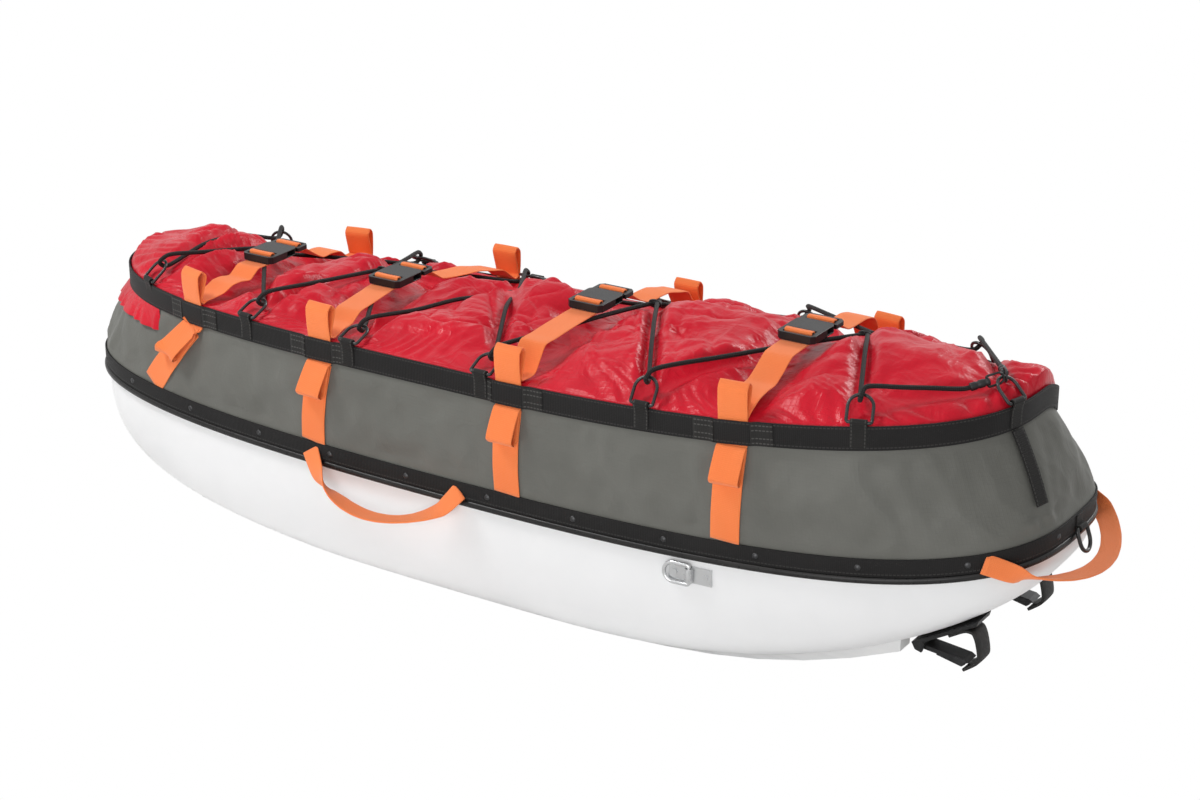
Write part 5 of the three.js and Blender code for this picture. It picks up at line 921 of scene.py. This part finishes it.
# Rings of the top outline drawn in towards the middle, at the crown's height. Added to it are pillows between the
# straps, valleys and ridges of creases, gathers that die away from the edge, and pulls beside the straps. All of it
# is pressed flat under the straps and the lacing, and the outermost ring is tucked below the band's edge.
def makeCover():
    angles = evenAngles(topPlan, coverSettings["around"])
    inner = 1 - np.linspace(0, 1, coverSettings["rings"]) ** coverSettings["inward"] * coverSettings["reach"]
    shares = np.concatenate([[1.0], inner])
    x, y = planPoint(topPlan, angles[None], level["inner"], shares[:, None])
    edgeX, edgeY = planPoint(topPlan, angles, level["inner"])
    edge = np.hypot(x - edgeX[None], y - edgeY[None])
    runs = np.repeat(runOf(edgeX, edgeY)[None], len(shares), 0)
    strapGap = np.full(x.shape, 1e9)
    for line in strapLines.values():
        strapGap = np.minimum(strapGap, distanceTo(np.array(line)[12:], x, y))  # from the band inwards
    free = smoothStep(strapGap, 19, 52) * smoothStep(distanceTo(cordLine, x, y), 3, 20)
    ends = smoothStep(-x, 380, 660) + smoothStep(x, 460, 640)
    gather = np.abs(np.sin(runs * math.pi / coverSettings["gatherStep"] + 1.8 * waves(runs, edge, 21, 4, 90, 240)))
    gather = np.maximum(gather ** 0.7 - 0.6, -0.12) * np.exp(-edge / 50) * smoothStep(edge, 0, 9)
    gather = gather * (coverSettings["gather"] + coverSettings["ends"] * ends)
    pillows = coverSettings["pillow"] * smoothStep(strapGap, 16, 74) * smoothStep(edge, 8, 80)
    pillows = pillows + coverSettings["slowPillow"] * waves(x, y, 22, 8, 110, 240) * smoothStep(edge, 10, 70)
    folds = coverSettings["lift"] - coverSettings["valley"] * creases(x, y, 23, 8, 110, 230, math.pi / 2.3, 0.7)
    folds = folds - coverSettings["shallowValley"] * creases(x, y, 24, 8, 60, 120, math.pi / 3, 1.3)
    folds = folds + coverSettings["ridge"] * creases(x, y, 27, 8, 80, 170, 2.2, 1.0)
    folds = folds * smoothStep(edge, 6, 60) * smoothStep(edge, 8, 90 + 60 * smoothStep(np.abs(x), 560, 680))
    small = coverSettings["small"] * waves(x, y, 25, 10, 26, 60) * smoothStep(edge, 4, 30)
    pull = np.cos(y * 2 * math.pi / coverSettings["pullStep"] + 1.5 * waves(x, y, 26, 3, 90, 200))
    pull = pull * np.exp(-np.maximum(0, strapGap - 19) / 40) * coverSettings["pull"] * smoothStep(edge, 15, 60)
    rise = pillows + folds + small + gather + pull
    z = crownHeight(x, y) + np.where(rise > 0, rise * free, rise * np.maximum(free, 0.35))
    z = z - coverSettings["pressed"] * (1 - free)
    z[0] = bandHeight(x[0], y[0]) + level["topBand"] - coverSettings["tuck"]
    points, faces = gridPart(np.stack([x, y, z], -1), 0.0, 0.0, wrapColumns=True)
    groups = [faces[0][0]] + capFaces(coverSettings["around"], (len(shares) - 1) * coverSettings["around"])
    return points, [(index, points[index][..., :2] * 0.001) for index in groups]


cover = piece("bag_cover", makeCover(), redNylon, slot="red_nylon", replaces=["cover", "packed_load"])
print("cover made")


# Top band: it bulges over each strap that passes under it
topBandSettings = dict(inner=-2, outer=0.1, round=0.7, bulge=2.9, flat=21, fade=30)


def strapBulge(x):
    lift = np.zeros_like(x)
    for _, band, _ in strapPlaces:
        near = smoothStep(-np.abs(x - band), -topBandSettings["fade"], -topBandSettings["flat"])
        lift = np.maximum(lift, near)
    return lift * topBandSettings["bulge"]


topBandSection = flatSection(0, level["topBand"], *(topBandSettings[key] for key in ("inner", "outer", "round")))
topBand = bandPart(topPlan, bandHeight, topBandSection, bulge=strapBulge)

# Lacing rings and their tabs, folded over the band and round each ring's bar. tabPath is (outward, upward).
ringSettings = dict(half=15, reach=34, wire=2.1, sides=10)
tabSettings = dict(width=20, thickness=1.7, steps=4)
tabPath = np.array([[0.9, -27], [1.0, -20], [1.0, -12], [1.5, -4], [3.1, 1.2], [4.3, 5.2], [3.4, 7.7], [0.9, 8.7],
                    [-1.6, 7.7], [-2.5, 5.2], [-1.9, 2.6], [-0.6, 1.0]])

# Each ring: the middle of its bar, the bar's direction, the direction it lies in, its tab's foot and the way outwards
ringTable = {
    "near_1": ((-589.6, -156.1, 358.6), (0.905, -0.425, 0), (0.318, 0.676, 0.665), (-589.2, -155.3, 353.4),
                (-0.425, -0.905, 0)),
    "near_2": ((-364, -218.8, 368.4), (0.99, -0.141, 0), (0.126, 0.89, 0.439), (-363.9, -217.9, 363.2),
                (-0.141, -0.99, 0)),
    "near_3": ((-184, -234.1, 372.8), (0.999, -0.038, 0), (0.035, 0.933, 0.359), (-184, -233.2, 367.6),
                (-0.038, -0.999, 0)),
    "near_4": ((24, -236.9, 374.3), (1, 0, 0), (-0, 0.894, 0.449), (24, -236, 369.1), (0, -1, 0)),
    "near_5": ((254, -232.6, 380.8), (0.999, 0.048, 0), (-0.027, 0.563, 0.826), (254, -231.7, 375.6),
                (0.048, -0.999, 0)),
    "near_6": ((519.8, -190.2, 400.5), (0.945, 0.326, 0), (-0.206, 0.597, 0.775), (519.5, -189.4, 395.3),
                (0.326, -0.945, 0)),
    "far_1": ((-589.7, 133.6, 318.6), (0.928, 0.373, 0), (0.091, -0.226, 0.97), (-589.4, 132.8, 313.4),
                (-0.373, 0.928, 0)),
    "far_2": ((-364, 187.5, 328.4), (0.993, 0.121, 0), (0.107, -0.882, 0.459), (-363.9, 186.6, 323.2),
                (-0.121, 0.993, 0)),
    "far_3": ((-184, 200.5, 332.8), (0.999, 0.032, 0), (0.03, -0.921, 0.389), (-184, 199.6, 327.6),
                (-0.032, 0.999, 0)),
    "far_4": ((24, 202.9, 334.3), (1, -0, 0), (-0, -0.888, 0.46), (24, 202, 329.1), (0, 1, 0)),
    "far_5": ((254, 199.2, 340.8), (0.999, -0.041, 0), (-0.018, -0.446, 0.895), (254, 198.3, 335.6),
                (0.041, 0.999, 0)),
    "far_6": ((519.9, 163, 360.5), (0.959, -0.283, 0), (-0.134, -0.453, 0.881), (519.7, 162.2, 355.3),
                (0.283, 0.959, 0)),
    "front": ((661.5, -68.6, 416.3), (0.271, 0.962, 0), (-0.724, 0.204, 0.659), (660.6, -68.3, 411.1),
                (0.962, -0.271, 0)),
}


# Ring bent from wire, in the plane of its bar and its reach: a straight bar, two arms and a half circle
def ringLine(bar, along, towards, half, reach, corner=3.0):
    along, towards = unit(np.array(along, dtype=float)), np.array(towards, dtype=float)
    towards = unit(towards - (towards @ along) * along)
    bow = np.linspace(0, math.pi, 22)
    turn = np.linspace(0, math.pi / 2, 6)
    straight = half - corner
    u = np.concatenate([half * np.cos(bow), -straight - corner * np.cos(turn), straight + corner * np.sin(turn)])
    v = np.concatenate([reach - half + half * np.sin(bow), corner - corner * np.sin(turn),
                        corner - corner * np.cos(turn)])
    return np.array(bar, dtype=float) + u[:, None] * along + v[:, None] * towards


# A folded tab's path carried to its place: outward times the first number plus upward times the second
def tabLine(foot, out, path, along, steps):
    points = np.array(foot) + path[:, :1] * np.array(out) + path[:, 1:] * np.array([0, 0, 1.0])
    return smoothLine(np.concatenate([points, np.repeat([along], len(path), 0)], 1), steps)


tabParts = []
for ringName, (bar, along, towards, foot, out) in ringTable.items():
    ring = tubePart(ringLine(bar, along, towards, ringSettings["half"], ringSettings["reach"]), ringSettings["wire"],
                    ringSettings["sides"], closed=True)
    piece("wire_ring_" + ringName, ring, ringWire, slot="black_wire", replaces=["lacing_ring_" + ringName])
    line = tabLine(foot, out, tabPath, along, tabSettings["steps"])
    tabParts.append(ribbonPart(line, tabSettings["width"], tabSettings["thickness"]))
piece("top_webbing", topBand, bandWebbing, slot="webbing", replaces=["top_band"])
piece("ring_tabs", tabParts, tabWebbing, slot="webbing", replaces=["top_band"])

# Stitched patches: short second layers of webbing on the top band, one at each side of every strap
patchSettings = dict(start=23, length=27, width=28, thickness=0.9, away=0.5, steps=9)


def makePatches():
    parts = []
    angles = np.linspace(-math.pi, math.pi, 8001)
    outline = np.stack([*planPoint(topPlan, angles, 0), *outward(topPlan, angles)])
    steps = np.linspace(0, patchSettings["length"], patchSettings["steps"]) + patchSettings["start"]
    for _, band, _ in strapPlaces:
        for side, way in ((-1, -1), (-1, 1), (1, -1), (1, 1)):
            half = outline[:, outline[1] * side > 0]
            half = half[:, np.argsort(half[0])]
            along = band + steps * way
            along = along[::way]
            x, y, outX, outY = (np.interp(along, half[0], values) for values in half)
            away = patchSettings["away"] + strapBulge(x)
            up = np.repeat([[0, 0, 1.0]], len(x), 0)
            points = np.stack([x + outX * away, y + outY * away, bandHeight(x, y) + level["topBand"] / 2], 1)
            line = np.concatenate([points, up], 1)
            parts.append(ribbonPart(line, patchSettings["width"], patchSettings["thickness"]))
    return parts


piece("stitched_patches", makePatches(), patchWebbing, slot="webbing", replaces=["top_band"])


# Reinforcing strip of webbing sewn down the skirt below the front ring: the skirt's points at one angle, moved out
def makeFrontStrip():
    share = np.repeat(np.linspace(1.0, stripSettings["low"], stripSettings["rows"])[:, None], 3, 1)
    angles = frontStripAngle + np.repeat([[-stripSettings["step"], 0, stripSettings["step"]]], len(share), 0)
    x, y, z = skirtPoint(angles, share, level["skirtInset"])
    nearX, nearY = planPoint(rimPlan, angles[0], 0)
    out = unit(np.array([nearY[2] - nearY[0], nearX[0] - nearX[2]]))
    across = np.repeat([[-out[1], out[0], 0]], len(share), 0)
    line = np.stack([x[:, 1] + out[0] * stripSettings["away"], y[:, 1] + out[1] * stripSettings["away"], z[:, 1]], 1)
    return ribbonPart(np.concatenate([line, across], 1), stripSettings["width"], stripSettings["thickness"])


piece("front_strip", makeFrontStrip(), tabWebbing, slot="webbing", replaces=["top_band"])
print("top band and rings made")

# Straps: the near ones ride on the sled, the far ones belong to no body and have their placement baked into their
# points
strapSettings = dict(width=38, thickness=1.6, crown=0.25, steps=7, rounds=2, bendFrom=(0, 0.19, 0),
                     bendTo=(0, 0.045, 0))
for strapName, table in strapLines.items():
    side, number = strapName.split("_")
    line = smoothLine(np.array(table), strapSettings["steps"], rounds=strapSettings["rounds"])
    ribbon = ribbonPart(line, strapSettings["width"], strapSettings["thickness"], strapSettings["crown"])
    strap = piece("webbing_strap_" + strapName, ribbon, strapWebbing, slot="orange_webbing",
                  replaces=["strap_" + strapName], body=None if side == "far" else "sled")
    if side == "far":
        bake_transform(strap)
print("straps made")

# Lacing cord and the crimp sleeves at its ends. A sleeve's profile is (length along it, radius), and an eye of wire
# stands out of it.
cordSettings = dict(radius=3, sides=10, steps=6, rounds=3)
cordRoute = smoothLine(cordLine, cordSettings["steps"], rounds=cordSettings["rounds"])
cord = tubePart(cordRoute, cordSettings["radius"], cordSettings["sides"])
piece("lacing_line", cord, cordBraid, slot="cord", replaces=["lacing_cord"])
sleeveSettings = dict(sides=18, eyeAt=21, eyeHalf=7, eyeReach=20, eyeCorner=2, eyeWire=1.5, eyeSides=8)
sleeveProfile = np.array([[0, 4.0], [0.4, 4.7], [1.4, 5], [7, 5], [8, 4.3], [10, 4.3], [11, 5], [17, 5], [18, 4.3],
                          [19.5, 4.3], [20.5, 5], [22.6, 5], [23.6, 4.6], [24, 4.0]])
sleevePlaces = dict(  # back end, direction and across direction
    near=((610.4, -89.1, 429.4), (0.739, 0.612, 0.282), (0.637, -0.77, 0)),
    far=((621.8, -26.4, 435), (0.519, -0.848, 0.113), (-0.853, -0.522, 0)))
for sleeveName, (back, axis, across) in sleevePlaces.items():
    back, axis, across = np.array(back), unit(np.array(axis)), unit(np.array(across))
    barrel = tubePart(back + sleeveProfile[:, :1] * axis, sleeveProfile[:, 1], sleeveSettings["sides"])
    eye = ringLine(back + sleeveSettings["eyeAt"] * axis, np.cross(across, axis), axis, sleeveSettings["eyeHalf"],
                   sleeveSettings["eyeReach"], sleeveSettings["eyeCorner"])
    eye = tubePart(eye, sleeveSettings["eyeWire"], sleeveSettings["eyeSides"], closed=True)
    piece("crimp_sleeve_" + sleeveName, [barrel, eye], buckleAcetal, slot="black_plastic",
          replaces=["cord_sleeve_" + sleeveName])

# Carrying handles: tubular webbing sewn flat at both ends
handleSettings = dict(width=25, thickness=2.2, crown=0.8, steps=6, rounds=2)
handleLines = {
    "near": [
        (-256, -229.5, 206.1, 1, -0.03, 0), (-235.9, -241.3, 181.3, 0.956, -0.294, 0),
        (-215.7, -249.5, 170.3, 0.783, -0.623, 0), (-195.5, -256, 162.7, 0.468, -0.884, 0),
        (-175.4, -260.8, 157.5, 0.151, -0.988, 0), (-155.2, -263.8, 154.4, 0, -1, 0),
        (-135, -265, 153.3, 0, -1, 0), (-114.8, -264.3, 154.2, 0, -1, 0),
        (-94.7, -261.7, 157, 0.152, -0.988, 0), (-74.5, -257.4, 161.9, 0.474, -0.88, 0),
        (-54.3, -251.4, 169.3, 0.794, -0.607, 0), (-34.2, -243.7, 179.9, 0.964, -0.267, 0),
        (-14, -232.4, 204.5, 1, -0, 0)],
    "far": [
        (-256, 229.5, 206.1, 1, 0.03, 0), (-235.9, 241.3, 181.3, 0.956, 0.294, 0),
        (-215.7, 249.5, 170.3, 0.783, 0.623, 0), (-195.5, 256, 162.7, 0.468, 0.884, 0),
        (-175.4, 260.8, 157.5, 0.151, 0.988, 0), (-155.2, 263.8, 154.4, 0, 1, 0), (-135, 265, 153.3, 0, 1, 0),
        (-114.8, 264.3, 154.2, 0, 1, 0), (-94.7, 261.7, 157, 0.152, 0.988, 0),
        (-74.5, 257.4, 161.9, 0.474, 0.88, 0), (-54.3, 251.4, 169.3, 0.794, 0.607, 0),
        (-34.2, 243.7, 179.9, 0.964, 0.267, 0), (-14, 232.4, 204.5, 1, 0, 0)],
    "front": [
        (663.6, -142.9, 239.9, 0.806, 0.592, 0), (703.1, -119.1, 223.7, 0.877, 0.48, 0),
        (722.3, -95.3, 216.7, 0.936, 0.353, 0), (735.8, -71.5, 211.8, 0.976, 0.217, 0),
        (745.2, -47.7, 208.5, 0.997, 0.081, 0), (750.7, -23.9, 206.5, 1, 0, 0), (752.5, -0.1, 205.9, 1, 0, 0),
        (750.7, 23.7, 206.5, 1, 0, 0), (745.1, 47.5, 208.5, 0.997, -0.081, 0),
        (735.8, 71.3, 211.8, 0.976, -0.217, 0), (722.2, 95.2, 216.7, 0.936, -0.353, 0),
        (703, 119, 223.7, 0.877, -0.48, 0), (663.5, 142.8, 239.9, 0.806, -0.592, 0)],
    "rear": [
        (-717.9, -92.6, 230.1, 0.154, -0.988, 0), (-732.6, -77.2, 200.6, -0.123, -0.992, 0),
        (-739.8, -61.7, 187.7, -0.526, -0.851, 0), (-744.8, -46.3, 178.8, -0.865, -0.502, 0),
        (-748.3, -30.9, 172.8, -0.988, -0.154, 0), (-750.4, -15.4, 169.2, -1, 0, 0),
        (-751.1, 0, 168.1, -1, 0, 0), (-750.4, 15.5, 169.2, -1, 0, 0), (-748.4, 30.9, 172.8, -0.988, 0.154, 0),
        (-745, 46.4, 178.8, -0.865, 0.502, 0), (-740, 61.8, 187.7, -0.526, 0.851, 0),
        (-732.9, 77.2, 200.6, -0.123, 0.992, 0), (-718.2, 92.7, 230.1, 0.154, 0.988, 0)],
}
handleTurns = dict(near=((0, -231, 206), (0, -231, 190)), far=((0, 231, 206), (0, 231, 190)),
                   front=((662, 0, 241), (676, 0, 234)), rear=((-718, 0, 231), (-724, 0, 217)))
for handleName, table in handleLines.items():
    line = smoothLine(np.array(table), handleSettings["steps"], rounds=handleSettings["rounds"])
    ribbon = ribbonPart(line, handleSettings["width"], handleSettings["thickness"], handleSettings["crown"])
    handle = piece("webbing_handle_" + handleName, ribbon, handleWebbing, body=None, slot="orange_webbing",
                   replaces=["handle_" + handleName])
    foot, below = handleTurns[handleName]
    toFrame(foot)
    toFrame(below)
    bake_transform(handle)
print("handles made")

# Rear flap: a second sheet over the skirt's upper edge round the rear, hanging free at its foot, where it stands out
# by a bent sine that grows with the way down
flapSettings = dict(before=-560, around=900, low=0.745, rows=16, away=2.6, wave=3.6, step=31, length=40)


def makeFlap():
    angles = evenAngles(topPlan, flapSettings["around"])
    x, _ = planPoint(topPlan, angles, 0)
    chosen = angles[x < flapSettings["before"]]
    chosen = np.concatenate([chosen[chosen > 0], chosen[chosen < 0]])[None]
    share = np.linspace(1.0, flapSettings["low"], flapSettings["rows"])[:, None]
    x, y, z = skirtPoint(np.repeat(chosen, len(share), 0), np.repeat(share, chosen.shape[1], 1), level["skirtInset"])
    ahead = unit(np.stack([np.gradient(x, axis=1), np.gradient(y, axis=1)], -1))
    runs = np.repeat(runOf(x[8], y[8])[None], len(share), 0)
    down = (1 - share) / (1 - flapSettings["low"])
    wave = 0.5 + 0.5 * np.sin(runs * 2 * math.pi / flapSettings["step"] + 2 * waves(runs, z, 31, 4, 60, 160))
    away = flapSettings["away"] + flapSettings["wave"] * down * wave
    points = np.stack([x + ahead[..., 1] * away, y - ahead[..., 0] * away, z], -1)
    return gridPart(points, runs, flapSettings["length"] * down)


rearFlap = piece("rear_flap_cloth", makeFlap(), redNylon, slot="red_nylon", replaces=["rear_flap"])

# Tow ring at the bow: its tab is sewn over the rim band and folded round the ring's bar. bowPath is (outward,
# upward), and its last five points go round the bar.
bowSettings = dict(barOut=4.5, barUp=5.3, up=8.3, tabWidth=18, tabThickness=1.8, steps=5, half=14, reach=30, wire=2.5)
bowTip = rimPlan["middle"] + rimPlan["front"]
bowFoot = np.array([bowTip, 0, float(rimHeight(np.array(float(bowTip)))) + bowSettings["up"]])
barPlace = np.array([bowSettings["barOut"], bowSettings["barUp"]])
roundBar = barPlace + np.array([[1.5, 3.6], [3.8, 0], [1.6, -3.6], [-1.6, -3.4], [-3.0, -0.6]])
bowPath = np.concatenate([[[1.0, 22], [1.0, 16], [1.2, 10], [2.0, 7.6]], roundBar])
bowTab = tabLine(bowFoot, (1.0, 0, 0), bowPath, (0, 1.0, 0), bowSettings["steps"])
piece("bow_tab", ribbonPart(bowTab, bowSettings["tabWidth"], bowSettings["tabThickness"]), tabWebbing, slot="webbing",
      replaces=["rim_band"])
bowBar = bowFoot + np.array([bowSettings["barOut"], 0, bowSettings["barUp"]])
bowWire = ringLine(bowBar, (0, 1, 0), (0.35, 0, -1), bowSettings["half"], bowSettings["reach"])
piece("wire_bow_ring", tubePart(bowWire, bowSettings["wire"], 12, closed=True), ringWire, body="bow_ring",
      slot="black_wire", replaces=["bow_ring"])

# Side rings hang from the steel plates' knuckles: the middle of the bar, its direction and the way that it hangs
sideRingSettings = dict(half=13, reach=34, wire=2.5)
sideRingPlaces = dict(near=((318.4, -225, 169.3), (0, 0, -1), (-0.998, -0.067, -0)),
                      far=((318.4, 225, 169.3), (0, 0, 1), (-0.998, 0.068, -0)))
for sideName, (bar, along, towards) in sideRingPlaces.items():
    wire = ringLine(bar, along, towards, sideRingSettings["half"], sideRingSettings["reach"])
    piece("wire_side_ring_" + sideName, tubePart(wire, sideRingSettings["wire"], 12, closed=True), ringSteel,
          body="side_ring_" + sideName, slot="steel", replaces=["side_ring_" + sideName])
print("tow rings made")

# Clamp bands: a thick rubber strip looped under each clamp plate
clampBandSettings = dict(width=32, thickness=4.0, crown=0.5, steps=8, rounds=4, pressTo=0.132, keep=0.55)
clampBandLines = {
    "near": [
        (611.2, -96, 118.3, 0, 1, 0), (632, -96, 130.3, 0, 1, 0), (641.9, -96, 129.7, 0, 1, 0),
        (646.9, -96, 119.6, 0, 1, 0), (651, -96, 94.5, 0, 1, 0), (631.8, -96, 78.7, 0, 1, 0)],
    "far": [
        (611.3, 96, 118.3, 0, 1, 0), (632.1, 96, 130.4, 0, 1, 0), (642, 96, 129.8, 0, 1, 0),
        (647, 96, 119.7, 0, 1, 0), (651.2, 96, 94.6, 0, 1, 0), (632.1, 96, 78.8, 0, 1, 0)],
}
for sideName, table in clampBandLines.items():
    line = smoothLine(np.array(table, dtype=float), clampBandSettings["steps"], rounds=clampBandSettings["rounds"])
    ribbon = ribbonPart(line, *(clampBandSettings[key] for key in ("width", "thickness", "crown")))
    band = piece("padded_band_" + sideName, ribbon, clampRubber, slot="black_plastic",
                 replaces=["clamp_band_" + sideName])
    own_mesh(band)
print("clamp bands made")

# Ferrules that hold the two runs of lacing together just short of the near lacing's turns, which are turnAt from the
# middle line
ferruleSettings = dict(turnAt=17, near=1.5, inward=4.0, up=0.6, halfLong=8.5, halfHigh=4.6, wire=1.5, sides=8)
turnPoints = cordLine[np.isclose(np.abs(cordLine[:, 1]), ferruleSettings["turnAt"], atol=ferruleSettings["near"])]
loop = np.linspace(0, 2 * math.pi, 25)[:-1]
oval = [ferruleSettings["halfLong"] * np.cos(loop), 0 * loop, ferruleSettings["halfHigh"] * np.sin(loop)]
ferrules = []
for turn in turnPoints:
    place = turn + np.array([0, -np.sign(turn[1]) * ferruleSettings["inward"], ferruleSettings["up"]])
    line = place + np.stack(oval, -1)
    ferrules.append(tubePart(line, ferruleSettings["wire"], ferruleSettings["sides"], closed=True))
piece("lacing_ferrules", ferrules, buckleAcetal, slot="black_plastic")
print("ferrules made")

# Moulded and pressed parts keep their own solids, with the edges eased and a finish of their own
easeSettings = dict(weld=0.00002, width=0.0007, segments=2, angle=35)
finishes = dict(runner=runnerPlastic, buckle=buckleAcetal, side_plate=plateSteel, clamp_base=clampMetal,
                clamp_arm=clampMetal, clamp_latch=clampMetal)
for nodeName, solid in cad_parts.items():
    for start, finish in finishes.items():
        if nodeName.startswith(start):
            solid.data.materials.clear()
            solid.data.materials.append(finish)
            weld = solid.modifiers.new("joined", "WELD")
            weld.merge_threshold = easeSettings["weld"]
            if start != "runner":
                bevel = solid.modifiers.new("eased", "BEVEL")
                bevel.width = easeSettings["width"]
                bevel.segments = easeSettings["segments"]
                bevel.limit_method = "ANGLE"
                bevel.angle_limit = math.radians(easeSettings["angle"])
                bevel.harden_normals = True
print("fittings finished")
